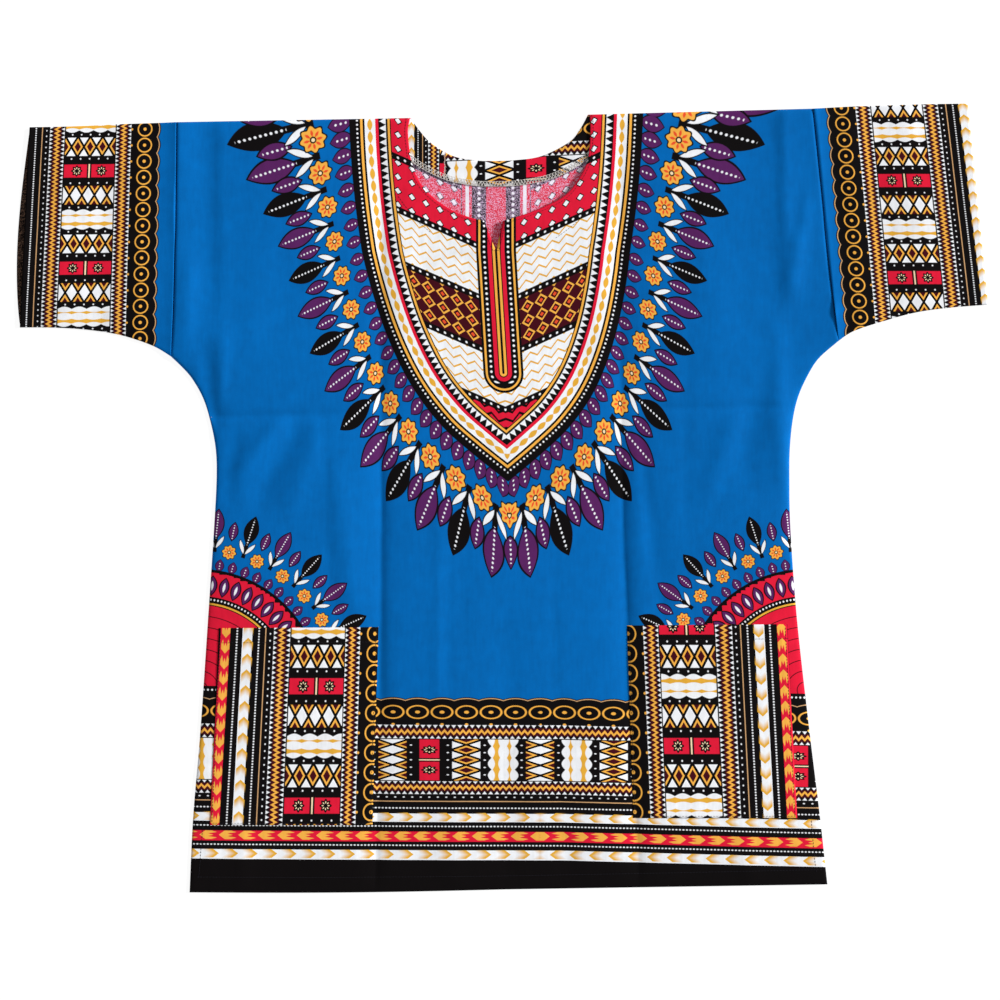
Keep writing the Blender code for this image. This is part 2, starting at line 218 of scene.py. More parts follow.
def unevenness(x, y, size, seed):
    # smooth seeded noise: random heights on a square lattice, joined by an even curve, from -1 to 1
    random = np.random.default_rng(seed)
    lattice = random.uniform(-1, 1, (64, 64))
    u, v = x / size[0] + 31.7, y / size[1] + 29.3
    i, j = np.floor(u).astype(int), np.floor(v).astype(int)
    a, b = smooth(u - i), smooth(v - j)
    i, j = i % 63, j % 63
    low = lattice[i, j] * (1 - a) + lattice[i + 1, j] * a
    high = lattice[i, j + 1] * (1 - a) + lattice[i + 1, j + 1] * a
    return low * (1 - b) + high * b


# how the cloth lies, in photo pixels: from, to, height in mm, reach on its left (or upper) and right (or
# lower) side, and 1 for a soft swell or 0 for a pressed crease
frontFolds = (
    (379, 190, 381, 455, -0.5, 10, 4, 0), (381, 455, 380, 700, -1.0, 14, 4, 0),
    (380, 700, 375, 892, -0.5, 10, 5, 0), (617, 190, 622, 480, -0.4, 12, 8, 0),
    (622, 480, 628, 700, -1.0, 16, 6, 0), (628, 700, 640, 888, -0.5, 12, 6, 0),
    (221, 112, 222, 400, 0.40, 4, 5, 0), (686, 300, 686, 515, -0.30, 4, 3, 0),
    (441, 505, 438, 702, 0.42, 5, 5, 1), (449, 560, 447, 690, -0.30, 4, 4, 1),
    (555, 556, 553, 702, -0.28, 3, 3, 0), (463, 515, 462, 640, -0.28, 3, 4, 0),
    (323, 422, 331, 600, -0.35, 5, 4, 0), (206, 417, 338, 413, -0.85, 5, 5, 0),
    (644, 409, 798, 406, -0.65, 4, 6, 0), (383, 621, 624, 619, 0.22, 4, 5, 0),
    (446, 646, 560, 643, -0.18, 4, 4, 0), (170, 358, 264, 323, 0.42, 3, 3, 0),
    (300, 424, 257, 503, -1.0, 13, 10, 1), (282, 418, 238, 474, 0.9, 9, 10, 1),
    (320, 436, 288, 512, 0.7, 10, 10, 1), (236, 428, 226, 505, -0.40, 9, 9, 1),
    (752, 392, 746, 484, -0.8, 15, 13, 1), (776, 326, 784, 486, 1.0, 12, 10, 1),
    (736, 418, 704, 500, 0.6, 10, 10, 1), (797, 232, 790, 288, 0.7, 5, 6, 1),
    (782, 100, 785, 300, 1.2, 6, 24, 0), (806, 196, 794, 296, 0.5, 5, 7, 1),
    (206, 348, 216, 424, -0.8, 9, 8, 1), (190, 260, 186, 345, 0.7, 10, 9, 1),
    (207, 112, 210, 300, -0.7, 15, 13, 1), (330, 412, 340, 612, 1.1, 90, 40, 1),
    (792, 400, 797, 560, 1.7, 100, 10, 1), (226, 330, 216, 402, 0.5, 20, 8, 1),
    (776, 330, 764, 402, -0.5, 8, 22, 1), (178, 100, 173, 356, 1.6, 3, 20, 0),
    (812, 96, 838, 346, 1.4, 15, 3, 0), (262, 250, 250, 350, 0.35, 14, 16, 1),
    (720, 250, 716, 372, 0.35, 14, 16, 1), (640, 420, 652, 560, -0.4, 6, 8, 1),
    (700, 180, 703, 300, 0.3, 8, 10, 1), (456, 705, 452, 888, 0.35, 12, 13, 1),
    (562, 700, 567, 887, -0.4, 12, 13, 1), (505, 600, 508, 886, -0.3, 16, 14, 1),
    (336, 470, 356, 612, 0.5, 12, 12, 1), (656, 500, 660, 620, -0.5, 12, 12, 1),
    (248, 828, 240, 888, 0.4, 9, 9, 1), (742, 824, 750, 884, 0.4, 9, 9, 1),
    (402, 230, 398, 420, 0.25, 12, 12, 1), (596, 230, 603, 420, 0.3, 12, 12, 1),
)


def foldRelief(x, y, folds, wander=1.2):
    # each fold is a straight run whose height falls off to each side (e to the power of less the distance,
    # squared on a soft swell) and towards its ends; its line wanders a little
    z = np.zeros_like(x)
    for number, (x0, y0, x1, y1, high, before, after, soft) in enumerate(folds):
        start = (x0 - picture["originX"], picture["originY"] - y0)
        end = (x1 - picture["originX"], picture["originY"] - y1)
        along, across, length = alongAndAcross(x, y, start, end)
        across = across / mm + wander * unevenness(along + number, 0 * along, (0.045, 1.0), 40 + number)
        if abs(y1 - y0) > abs(x1 - x0):
            before, after = after, before
        distance = np.abs(across) / np.where(across < 0, before, after)
        fade = min(0.045, length * 0.4)
        ends = smooth(along / fade + 0.5) * smooth((length - along) / fade + 0.5)
        profile = np.exp(-distance ** 2) if soft else np.exp(-distance)
        z += high * mm * ends * profile
    return z


# the cotton's own unevenness: height, size across and up the shirt, and seed
frontUneven = ((0.00048, (0.060, 0.120), 3), (0.00010, (0.021, 0.030), 5), (0.00004, (0.009, 0.011), 6))
sleeveUneven = ((0.00030, (0.045, 0.080), 9), (0.00010, (0.018, 0.024), 11))


def rumple(x, y, waves):
    # the sum of a table of unevenness
    return sum(high * unevenness(x, y, size, seed) for high, size, seed in waves)


def frontLie(x, y):
    # the front's outer face as it lies: the height its solid has, the folds, and the unevenness of cotton
    folds = cloth["foldStrength"] * foldRelief(x, y, frontFolds)
    return frontHeight(x, y) + folds + rumple(x, y, frontUneven)


def meet(z, edge, distance, sharp, wide):
    # bends a surface down to the height of its edge
    return edge + (z - edge) * (1 - 0.62 * np.exp(-distance / sharp) - 0.38 * np.exp(-distance / wide))


def between(start, end, share):
    # a share of the way from start to end
    return start + (end - start) * share


def denseAtEnds(count, amount):
    # shares from 0 to 1 that stand closer together at both ends
    even = np.linspace(0, 1, count + 1)
    return even - amount * np.sin(2 * math.pi * even) / (2 * math.pi)


def runLength(x, y):
    # how far along a line of points each of them is
    return np.concatenate([[0], np.cumsum(np.hypot(np.diff(x), np.diff(y)))])


def gridFaces(rows, columns, index=None):
    # the quads of a grid of points, row by row
    index = np.arange(rows * columns).reshape(rows, columns) if index is None else index
    return np.stack([index[1:, :-1], index[1:, 1:], index[:-1, 1:], index[:-1, :-1]], -1).reshape(-1, 4)


def linked(name, data):
    # puts a mesh, lamp or camera into the scene
    obj = bpy.data.objects.new(name, data)
    bpy.context.scene.collection.objects.link(obj)
    return obj


def makeMesh(name, points, faces, fields=None, materials=(), kinds=None):
    # one mesh from points and a list of faces, with its fields as attributes of the points
    mesh = bpy.data.meshes.new(name)
    mesh.from_pydata(points.reshape(-1, 3).tolist(), [], faces)
    for fieldName, values in (fields or {}).items():
        attribute = mesh.attributes.new(fieldName, "FLOAT_VECTOR", "POINT")
        attribute.data.foreach_set("vector", np.ascontiguousarray(values, np.float32).ravel())
    for material in materials:
        mesh.materials.append(material)
    if kinds is not None:
        mesh.polygons.foreach_set("material_index", np.ascontiguousarray(kinds, np.int32))
    mesh.shade_smooth()
    mesh.update()
    obj = linked(name, mesh)
    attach(obj, "root")
    return obj


def giveThickness(obj, wrongSides=1):
    # the cloth's other side, with the wrong side's cloths that many slots on
    wall = obj.modifiers.new("thickness", "SOLIDIFY")
    wall.thickness = cloth["thickness"]
    wall.offset = -1
    wall.material_offset = wrongSides
    wall.material_offset_rim = 0


def dye(code):
    # a printed colour from its web code, in linear light
    values = [int(code[i:i + 2], 16) / 255 for i in (0, 2, 4)]
    return tuple(v / 12.92 if v <= 0.04045 else ((v + 0.055) / 1.055) ** 2.4 for v in values) + (1.0,)


dyes = {
    "blue": dye("0064B0"), "black": dye("0D0A0B"), "white": dye("EDEFF3"), "red": dye("DC1B38"),
    "gold": dye("F0AE48"), "deepGold": dye("E2A93A"), "ember": dye("E5502C"), "purple": dye("56225C"),
    "maroon": dye("420C18"), "cream": dye("F6DDB4"), "line": dye("D2A474"),
}


class Field:
    # a number that varies over the cloth; each step of its arithmetic is one Math node
    def __init__(self, tree, socket):
        self.tree = tree
        self.socket = socket

    def __add__(self, other):
        return mathStep("ADD", self, other)

    def __sub__(self, other):
        return mathStep("SUBTRACT", self, other)

    def __rsub__(self, other):
        return mathStep("SUBTRACT", other, self)

    def __mul__(self, other):
        return mathStep("MULTIPLY", self, other)

    def __abs__(self):
        return mathStep("ABSOLUTE", self)

    __radd__ = __add__
    __rmul__ = __mul__

    def times(self, factor, offset):
        # the number times a factor, plus an offset
        return mathStep("MULTIPLY_ADD", self, factor, offset)

    def least(self, other):
        return mathStep("MINIMUM", self, other)

    def most(self, other):
        return mathStep("MAXIMUM", self, other)

    def wrap(self, pitch):
        # a repeat: from half a pitch below its middle to half a pitch above
        return mathStep("WRAP", self, pitch / 2, -pitch / 2)

    def fold(self, half):
        # a mirrored repeat: up to a half and down again
        return mathStep("PINGPONG", self, half)


def mathStep(operation, *values, clamp=False):
    # one Math node, fed with fields and plain numbers
    tree = next(value.tree for value in values if isinstance(value, Field))
    node = tree.nodes.new("ShaderNodeMath")
    node.operation = operation
    node.use_clamp = clamp
    for socket, value in zip(node.inputs, values):
        if isinstance(value, Field):
            tree.links.new(value.socket, socket)
        else:
            socket.default_value = value
    return Field(tree, node.outputs[0])


def inside(field, softness=0.5):
    # 1 where the field is above nothing, 0 below it, with a short soft edge
    return mathStep("MULTIPLY_ADD", field, 1 / softness, 0.5, clamp=True)


def disc(x, y, radius, softness=0.5):
    # a round spot, from the square of the distance to its middle
    slope = -0.5 / (radius * softness)
    return mathStep("MULTIPLY_ADD", y.times(y, x * x), slope, 0.5 + 0.5 * radius / softness, clamp=True)


def far(x, y):
    # the distance to the middle
    return mathStep("SQRT", y.times(y, x * x))


def almond(x, y, middle, halfLength, halfWidth):
    # a leaf shape, pointed at both ends: how far inside it a point is
    share = y.times(1 / halfLength, -middle / halfLength)
    return (share * share).times(-halfWidth, halfWidth) - abs(x)


class Paint:
    # a colour built up in layers, each laid over the last where its mask is 1; dyes may be given by name
    def __init__(self, tree, colour):
        self.tree = tree
        self.colour = dyes[colour] if isinstance(colour, str) else colour

    def feed(self, socket, value):
        if isinstance(value, (Field, Paint)):
            value = value.socket if isinstance(value, Field) else value.colour
        if isinstance(value, str):
            value = dyes[value]
        if isinstance(value, bpy.types.NodeSocket):
            self.tree.links.new(value, socket)
        else:
            socket.default_value = value

    def over(self, mask, colour, blend="MIX"):
        node = self.tree.nodes.new("ShaderNodeMix")
        node.data_type = "RGBA"
        node.blend_type = blend
        self.feed(node.inputs["Factor"], mask)
        self.feed(node.inputs[6], self.colour)
        self.feed(node.inputs[7], colour)
        self.colour = node.outputs[2]
        return self

    def fill(self, field, colour):
        # laid over where a field is above nothing
        return self.over(inside(field), colour)


def strips(field, start, bands):
    # flat bands of colour, each from its own value of the field to the next one's
    node = field.tree.nodes.new("ShaderNodeValToRGB")
    ramp = node.color_ramp
    ramp.interpolation = "CONSTANT"
    first, last = bands[0][0], bands[-1][0]
    share = field.times(1 / (last - first), -first / (last - first))
    while len(ramp.elements) < len(bands) + 1:
        ramp.elements.new(0.5)
    ramp.elements[0].position = 0
    ramp.elements[0].color = dyes[start]
    for element, (at, colour) in zip(list(ramp.elements)[1:], bands):
        element.position = 0.0001 + 0.9998 * (at - first) / (last - first)
        element.color = dyes[colour]
    field.tree.links.new(share.socket, node.inputs[0])
    return node.outputs[0]


def places(tree, name):
    # the three numbers of a place attribute
    attribute = tree.nodes.new("ShaderNodeAttribute")
    attribute.attribute_name = name
    split = tree.nodes.new("ShaderNodeSeparateXYZ")
    tree.links.new(attribute.outputs["Vector"], split.inputs[0])
    return [Field(tree, socket) for socket in split.outputs]


def inObject(tree):
    # where a point is on the shirt, in mm
    coordinates = tree.nodes.new("ShaderNodeTexCoord")
    split = tree.nodes.new("ShaderNodeSeparateXYZ")
    tree.links.new(coordinates.outputs["Object"], split.inputs[0])
    return [Field(tree, socket) * 1000.0 for socket in split.outputs[:2]]


weave = {
    "yarn": 0.42, "strength": 0.10, "roughness": 0.78, "shine": 0.045, "sheen": 0.01, "mottleScale": 95.0,
    "cloudScale": 9.0, "streakScale": 330.0, "streakStretch": 0.16, "speckScale": 1050.0,
}


def newMaterial(name, roughness, shine):
    # a material with its nodes and its shader
    material = bpy.data.materials.new(name)
    material.use_nodes = True
    shader = material.node_tree.nodes["Principled BSDF"]
    shader.inputs["Roughness"].default_value = roughness
    shader.inputs["Specular IOR Level"].default_value = shine
    return material, material.node_tree, shader


def noiseAt(tree, place, scale, detail=2.0):
    # soft noise, so many lumps to a metre
    noise = tree.nodes.new("ShaderNodeTexNoise")
    noise.inputs["Scale"].default_value = scale
    noise.inputs["Detail"].default_value = detail
    tree.links.new(place, noise.inputs["Vector"])
    return Field(tree, noise.outputs["Fac"])


def addRelief(tree, shader, height, strength):
    # fine relief of a tenth of a millimetre, from a field of heights
    bump = tree.nodes.new("ShaderNodeBump")
    bump.inputs["Strength"].default_value = strength
    bump.inputs["Distance"].default_value = 0.0001
    tree.links.new(height.socket, bump.inputs["Height"])
    tree.links.new(bump.outputs["Normal"], shader.inputs["Normal"])


def printedCloth(name, draw, faded=0.0, tint=None):
    # plain-woven cotton: the print, faded on its wrong side, with the weave's relief (the sine of the place
    # across the yarns times the sine along them) and the dye's unevenness
    material, tree, shader = newMaterial(name, weave["roughness"], weave["shine"])
    shader.inputs["Sheen Weight"].default_value = weave["sheen"]
    shader.inputs["Sheen Roughness"].default_value = 0.5
    paint = draw(tree)
    x, y = inObject(tree)
    place = tree.nodes.new("ShaderNodeTexCoord").outputs["Object"]
    drawn = tree.nodes.new("ShaderNodeMapping")
    drawn.inputs["Scale"].default_value = (1.0, weave["streakStretch"], 1.0)
    tree.links.new(place, drawn.inputs["Vector"])
    mottle = noiseAt(tree, place, weave["mottleScale"], 3.0)
    cloud = noiseAt(tree, place, weave["cloudScale"])
    streak = noiseAt(tree, drawn.outputs[0], weave["streakScale"])
    if faded:   # the dye only partly comes through, in specks
        speck = noiseAt(tree, place, weave["speckScale"], 1.0)
        paint.over(mathStep("MULTIPLY_ADD", speck, 2.6, faded - 1.3, clamp=True), dye(tint))
    shade = mottle.times(0.26, 0.67) + cloud * 0.20 + streak * 0.20
    grey = tree.nodes.new("ShaderNodeCombineColor")
    for socket in grey.inputs:
        tree.links.new(shade.socket, socket)
    paint.over(1.0, grey.outputs[0], "MULTIPLY")
    tree.links.new(paint.colour, shader.inputs["Base Color"])
    tree.links.new(mottle.times(0.14, weave["roughness"] - 0.07).socket, shader.inputs["Roughness"])
    turn = math.pi / weave["yarn"]
    yarns = mathStep("SINE", x * turn) * mathStep("SINE", y * turn)
    addRelief(tree, shader, mottle.times(1.5, yarns), weave["strength"])
    return material


def drawGround(tree):
    # plain dyed cloth
    return Paint(tree, "blue")


# the border: rings, zigzags, a ladder of cells and woven-looking strips, in mm of the sleeve's print from
# its scalloped edge
border = {
    "ladderMiddle": 68.75, "ladderHalf": 25.2, "ladderPitch": 97.0, "zigzagFromMiddle": 33.8,
    "ringAt": 13.4, "ringPitch": 16.1, "ringOut": 7.5, "ringLine": 1.3,
    "zigzagPitch": 4.05, "latticePitch": 12.5, "wavePitch": 14.4, "spotPitch": 9.1, "lineAt": 118.0,
}


def drawBorder(tree):
    # flat strips, with ornaments laid over them; each is a field that is above nothing inside it
    b = border
    along, across, sideways = places(tree, "borderPlace")
    flat = strips(across, "black", (
        (-60.0, "black"), (129.2, "white"), (138.0, "black"),
        (148.4, "red"), (157.8, "black"), (167.0, "white"), (176.6, "black"), (260.0, "black"),
    ))
    paint = Paint(tree, flat)

    # the ladder: four kinds of cell with spotted rungs between them
    quarter = b["ladderPitch"] / 4
    step = (along + quarter / 2).wrap(b["ladderPitch"])
    cell = along.wrap(quarter)
    high = across - b["ladderMiddle"]
    inCell = abs(cell)
    folded = high.fold(b["latticePitch"] / 2)
    lozenge = inCell.times(-b["latticePitch"] / 20.2, b["latticePitch"] / 2) - folded
    lattice = strips(lozenge, "white", (
        (-1.4, "black"), (1.1, "gold"), (3.0, "maroon"), (9.0, "maroon"),
    ))
    swell = abs(mathStep("SINE", high.times(math.pi / b["wavePitch"], 0.6)))
    waves = Paint(tree, "black")
    waves.fill(swell.times(2.4, 7.6) - inCell, "white")
    waves.fill(swell.times(-1.3, 2.0) + cell * 0.10 - abs(inCell - 4.2), "deepGold")
    rose = Paint(tree, "black")
    rose.fill(6.5 - inCell, "red")
    roseHigh = abs(high) - 12.4
    roseTurn = mathStep("COSINE", mathStep("ARCTAN2", cell, roseHigh) * 8.0)
    roseFar = far(cell, roseHigh)
    rose.fill(roseTurn.times(0.8, 4.9) - roseFar, "black")
    rose.fill(roseTurn.times(0.9, 0.1) - abs(roseFar - 2.7), "cream")
    rose.fill(2.3 - abs(high), "black")
    rose.over(inside(0.7 - abs(high)) * inside(6.8 - inCell), "cream")
    hourglass = strips(lozenge, "maroon", (
        (-3.1, "gold"), (-1.2, "black"), (1.2, "white"), (9.0, "white"),
    ))
    cells = Paint(tree, lattice)
    # which of the four kinds stands where, along one length of the ladder
    place = step + b["ladderPitch"] / 2
    cells.over(inside(place - 2 * quarter, 0.02), hourglass)
    fromRung = quarter / 2 - inCell
    cells.fill(2.9 - fromRung, "black")
    cells.over(inside(place - quarter, 0.02) * inside(2 * quarter - place, 0.02), rose.colour)
    cells.over(inside(place - 3 * quarter, 0.02), waves.colour)
    spots = disc(high.wrap(b["spotPitch"]), fromRung, 0.78)
    cells.over(spots, "white")
    offMiddle = abs(high)
    paint.fill(b["ladderHalf"] - offMiddle, cells.colour)

    # the zigzags, with a row of small teeth on either side that point into their notches, and the dots
    fromZigzag = offMiddle - b["zigzagFromMiddle"]
    tooth = along.fold(b["zigzagPitch"] / 2)
    paint.fill(4.5 - abs(fromZigzag), "maroon")
    saw = tooth.times(1.9, -1.9)
    paint.fill(1.65 - abs(fromZigzag - saw), "gold")
    outer = (fromZigzag.times(0.47, -2.0) - tooth).least(7.5 - fromZigzag)
    inner = (tooth - fromZigzag.times(0.47, 4.03)).least(fromZigzag + 7.4)
    paint.fill(outer, "white")
    paint.fill(inner, "white")
    paint.over(disc(along.wrap(5.6), across - 113.5, 0.7), "white")
    paint.fill(0.45 - abs(across - b["lineAt"]), "line")
    fine = along.wrap(2.3)
    paint.over(disc(fine, across - 124.4, 0.7), "white")
    paint.over(disc(fine, abs(across - 152.9) - 9.6, 0.7), "white")
    paint.over(disc(along.wrap(b["ringPitch"]), across - 26.6, 1.1), "gold")

    # strips of arrowheads: gold that fades out behind each point
    intoWhite = abs(across - 152.7) - 19.1
    arrow = (along - abs(intoWhite) * 0.85).wrap(12.8)
    fade = mathStep("MULTIPLY_ADD", arrow, -0.17, 0.20, clamp=True) * inside(4.4 - abs(intoWhite))
    paint.over(fade, "deepGold")
    intoRed = across - 153.1
    flame = (abs(intoRed).times(0.9, 0.0) + along).wrap(12.8)
    prongs = mathStep("COSINE", intoRed * (2 * math.pi / 2.7))
    tongue = flame.times(1.0, 0.4) + prongs * 1.9
    paint.over(inside(tongue, 1.2) * inside(4.2 - abs(intoRed)), "gold")

    # rings with a dot, under the scalloped edge
    ring = along.wrap(b["ringPitch"])
    ringHigh = across - b["ringAt"]
    ringFar = far(ring, ringHigh)
    middle = b["ringOut"] - b["ringLine"] / 2
    paint.fill(b["ringLine"] / 2 - abs(ringFar - middle), "gold")
    paint.fill(1.6 - ringFar, "gold")
    share = ring * (2 / b["ringPitch"])
    edge = (share * share).times(-2.4, 2.4) + across
    paint.over(inside(-0.6 - edge) * inside(262.0 - abs(sideways), 0.02), "blue")
    paint.fill(0.45 - abs(edge - 0.9), "line")
    return paint


# the yoke: bands that follow its edge, rows of lattice and chevrons within them, and a striped placket
yokeStyle = {
    "rowHeight": 52.0, "rowFirst": 33.0, "latticePitch": 14.0, "placketHalf": 20.0, "placketEnd": 152.0,
}


def drawYoke(tree, ofBack=False):
    # rows whose edges slope away from the middle, then the placket, then the bands
    s = yokeStyle
    deep, around, beside = places(tree, "yokePlace")
    x, y = inObject(tree)
    down = y.times(-1.0, 277.0)
    side = abs(beside)
    row = side.times(0.45, down)
    cross = beside.wrap(s["latticePitch"])
    lattice = (abs(cross) + abs(row.wrap(s["latticePitch"]))) * (2 / s["latticePitch"])
    chevron = abs((row - abs(cross).times(0.8, 0.0)).wrap(9.0))
    redLattice = strips(lattice, "white", ((0.42, "black"), (0.60, "red"), (2.0, "red")))
    goldLattice = strips(lattice, "ember", (
        (0.30, "maroon"), (0.62, "gold"), (0.94, "maroon"), (2.0, "maroon"),
    ))
    goldChevron = strips(chevron, "deepGold", ((0.9, "white"), (5.0, "white")))
    redChevron = strips(chevron, "black", ((1.3, "red"), (5.0, "red")))
    first, height = s["rowFirst"], s["rowHeight"]
    paint = Paint(tree, redLattice)
    paint.over(inside(row - first, 0.02), goldChevron)
    paint.over(inside(row - (first + height), 0.02), goldLattice)
    paint.over(inside(row - (first + 2 * height), 0.02), goldChevron)
    paint.over(inside(row - (first + 3 * height), 0.02), redChevron)
    fromRowEdge = (row - first).wrap(height)
    paint.fill(3.4 - abs(fromRowEdge), "black")
    paint.over(disc(beside.wrap(7.0), fromRowEdge, 1.15), "white")

    # the placket, with a round end below the slit
    fromSlit = far(side, (down - s["placketEnd"]).most(0.0))
    stripes = strips(fromSlit, "black", (
        (1.0, "gold"), (3.6, "black"), (4.6, "red"), (8.4, "black"), (15.6, "gold"), (17.6, "black"),
        (30.0, "black"),
    ))
    if ofBack:
        bands = strips(side, "red", (
            (-1.0, "red"), (9.8, "black"), (24.0, "red"), (27.0, "white"), (30.5, "red"), (34.0, "black"),
            (40.0, "black"),
        ))
        paint.over(inside(35.0 - side, 0.05), bands)
        paint.over(disc(down.wrap(5.6), side - 17.0, 1.6), "white")
    else:
        paint.over(inside(s["placketHalf"] - fromSlit, 0.05), stripes)
        paint.over(disc(down.wrap(5.2), fromSlit - 12.0, 1.25), "white")

    # bands along the yoke's edge
    bands = strips(deep, "black", (
        (-30.0, "black"), (9.0, "gold"), (11.3, "black"), (13.4, "white"), (24.0, "red"), (27.0, "black"),
        (36.4, "gold"), (38.4, "black"), (40.0, "black"),
    ))
    paint.over(inside(39.6 - deep, 0.05), bands)
    lens = around.wrap(12.5) * 0.16
    paint.fill((lens * lens).times(-2.6, 2.6) - abs(deep - 18.7), "deepGold")
    saw = (deep.times(0.52, -14.6) - around.fold(3.6)).least(34.6 - deep)
    paint.fill(saw, "white")
    paint.over(disc(around.wrap(4.4), deep - 6.0, 1.0), "white")
    return paint


def drawBackYoke(tree):
    # the same yoke with straight bands in place of the placket
    return drawYoke(tree, True)


# the fringe: petals, rosettes with white leaves, and pointed leaves, in cells round a curve
fringe = {"deep": 75.0}


def drawFringe(tree):
    # almond fields for the leaves and petals, cosines of the turn for the blossoms
    along, out, pitch = places(tree, "fringePlace")
    bloomX = along.wrap(1.0) * pitch
    leafX = (along + 0.5).wrap(1.0) * pitch
    petalX = (along * 2.0 + 0.5).wrap(1.0) * pitch * 0.5
    odd = inside(abs(along.times(0.5, 0.25).wrap(1.0)) - 0.25, 0.02)
    paint = Paint(tree, "blue")

    # pointed leaves, black and purple in turn, each on its stem with a dotted rib
    big = almond(leafX, out, 58.0, 18.0, 8.2)
    stem = (1.5 - abs(leafX)).least(9.5 - abs(out - 33.5))
    paint.fill(big.most(stem) + 0.9, "black")
    fill = Paint(tree, "black").over(odd, "purple")
    paint.fill(big - 0.5, fill.colour)
    small = almond(bloomX, out, 51.5, 11.5, 5.4)
    paint.fill(small + 0.9, "black")
    paint.fill(small - 0.4, "purple")
    ribY = out.wrap(3.3)
    ribs = disc(leafX, ribY, 0.85) * inside(16.0 - abs(out - 56.0))
    paint.over(ribs, "white")
    paint.over(disc(bloomX, ribY, 0.8) * inside(8.4 - abs(out - 51.0)), "white")

    # a pair of white leaves beside each stem
    pair = almond(abs(leafX) - out.times(0.55, -14.4), out, 36.0, 7.6, 2.4)
    paint.fill(pair + 0.9, "black")
    paint.fill(pair, "white")

    # round blossoms of eight petals
    bloomY = out - 25.5
    bloomFar = far(bloomX, bloomY)
    petals = mathStep("COSINE", mathStep("ARCTAN2", bloomX, bloomY) * 8.0)
    bloom = petals.times(0.9, 7.7) - bloomFar
    paint.fill(bloom + 1.1, "black")
    paint.fill(bloom, "gold")
    paint.over(inside(petals.times(1.8, 0.4) - abs(bloomFar - 4.0), 1.2), "ember")
    paint.fill(2.2 - bloomFar, "black")
    paint.fill(1.2 - bloomFar, "cream")

    # a row of petals against the yoke
    petal = almond(petalX, out, 7.0, 7.6, 4.9)
    paint.fill(petal + 0.9, "black")
    paint.fill(petal, "purple")
    paint.over(disc(petalX, ribY, 0.75) * inside(4.6 - abs(out - 7.4)), "white")
    paint.fill(1.2 - out, "black")
    return paint


def drawSideRound(tree):
    # the half-rounds at the side seams: a red ground with leaves, a dotted band and a plain middle
    deep, around, low = places(tree, "yokePlace")
    x, y = inObject(tree)
    flat = strips(deep, "black", (
        (-30.0, "black"), (1.8, "red"), (26.0, "black"), (32.0, "deepGold"), (34.0, "black"),
        (35.0, "red"), (90.0, "red"),
    ))
    paint = Paint(tree, flat)
    leaf = almond(around.wrap(12.2), deep, 15.0, 9.4, 4.4)
    paint.fill(leaf + 1.0, "black")
    paint.fill(leaf - 0.3, "purple")
    paint.fill(almond(around.wrap(12.2), deep, 15.0, 5.0, 1.3), "white")
    paint.over(inside(0.4 - abs(deep.times(1.0, -46.0).wrap(11.0))) * inside(deep - 40.0), "black")
    paint.over(disc(around.wrap(4.2), deep - 29.0, 1.0), "white")
    paint.over(inside(low + 12.5, 0.1), "black")
    paint.over(disc(x.wrap(4.2), low + 8.6, 1.0), "white")
    return paint


blueCloth = printedCloth("blueCotton", drawGround)
borderCloth = printedCloth("borderPrint", drawBorder)
yokeCloth = printedCloth("yokePrint", drawYoke)
fringeCloth = printedCloth("fringePrint", drawFringe)
sideCloth = printedCloth("sideRoundPrint", drawSideRound)
fadedBlue = printedCloth("wrongSideBlue", drawGround, 0.40, "D9D3E4")
fadedYoke = printedCloth("wrongSideYoke", drawBackYoke, 0.24, "E8CCEE")
fadedBorder = printedCloth("wrongSideBorder", drawBorder, 0.16, "8A6A58")
bodyCloths = (blueCloth, borderCloth, yokeCloth, fringeCloth, sideCloth)
bodyWrong = (fadedBlue, fadedBlue, fadedYoke, fadedBlue, fadedBlue)
print("cloth materials made")

# where the print lies, worked out for every point of the cloth
yoke = {
    # from the tip to the shoulder: the yoke's edge, then the fringe's, as mm from the middle and mm up
    "rows": (
        (0.0, 18.0, 0.0, -88.0), (33.0, 45.0, 62.0, -52.0), (64.0, 74.0, 112.0, -12.0),
        (91.0, 112.0, 152.0, 43.0), (112.0, 160.0, 180.0, 112.0), (127.0, 215.0, 200.0, 180.0),
        (137.0, 275.0, 213.0, 243.0), (143.0, 335.0, 238.0, 300.0), (146.0, 400.0, 275.0, 372.0),
        (148.0, 440.0, 300.0, 430.0),
    ),
    "cells": 14.0,
}
sideRound = {
    "left": (-302.0, -192.0), "right": (303.0, -192.0), "edge": 120.0, "fringe": 61.0, "cells": 15.0,
    "leafRadius": 105.0,
}
hem = {
    # how far below the origin the border's scalloped edge runs, in mm, at places across the shirt
    "top": (
        (-312.0, 200.2), (-122.0, 201.4), (-62.0, 201.6), (58.0, 202.0), (138.0, 204.0), (325.0, 208.8),
    ),
    "middle": 38.0, "stretch": 1.52,
    # mm below that edge, and where the border has what lies there
    "print": (
        (-400.0, 0.0, 12.3, 24.4, 32.4, 39.6, 80.6, 87.4, 97.3, 101.3, 108.3, 113.0, 121.5, 131.4, 141.0,
         150.0, 194.0),
        (-450.0, 0.0, 13.4, 26.6, 34.95, 43.5, 94.0, 102.5, 113.5, 117.9, 124.4, 129.2, 138.0, 148.4, 157.8,
         167.0, 212.0),
    ),
}


def nearest(px, py, linePoints):
    # for each point, its distance to a fine line of points and the number of the nearest one
    found = [], []
    for start in range(0, len(px), 4000):
        part = slice(start, start + 4000)
        square = (px[part, None] - linePoints[:, 0]) ** 2 + (py[part, None] - linePoints[:, 1]) ** 2
        index = square.argmin(1)
        found[0].append(np.sqrt(square[np.arange(len(index)), index]))
        found[1].append(index)
    return np.concatenate(found[0]), np.concatenate(found[1])


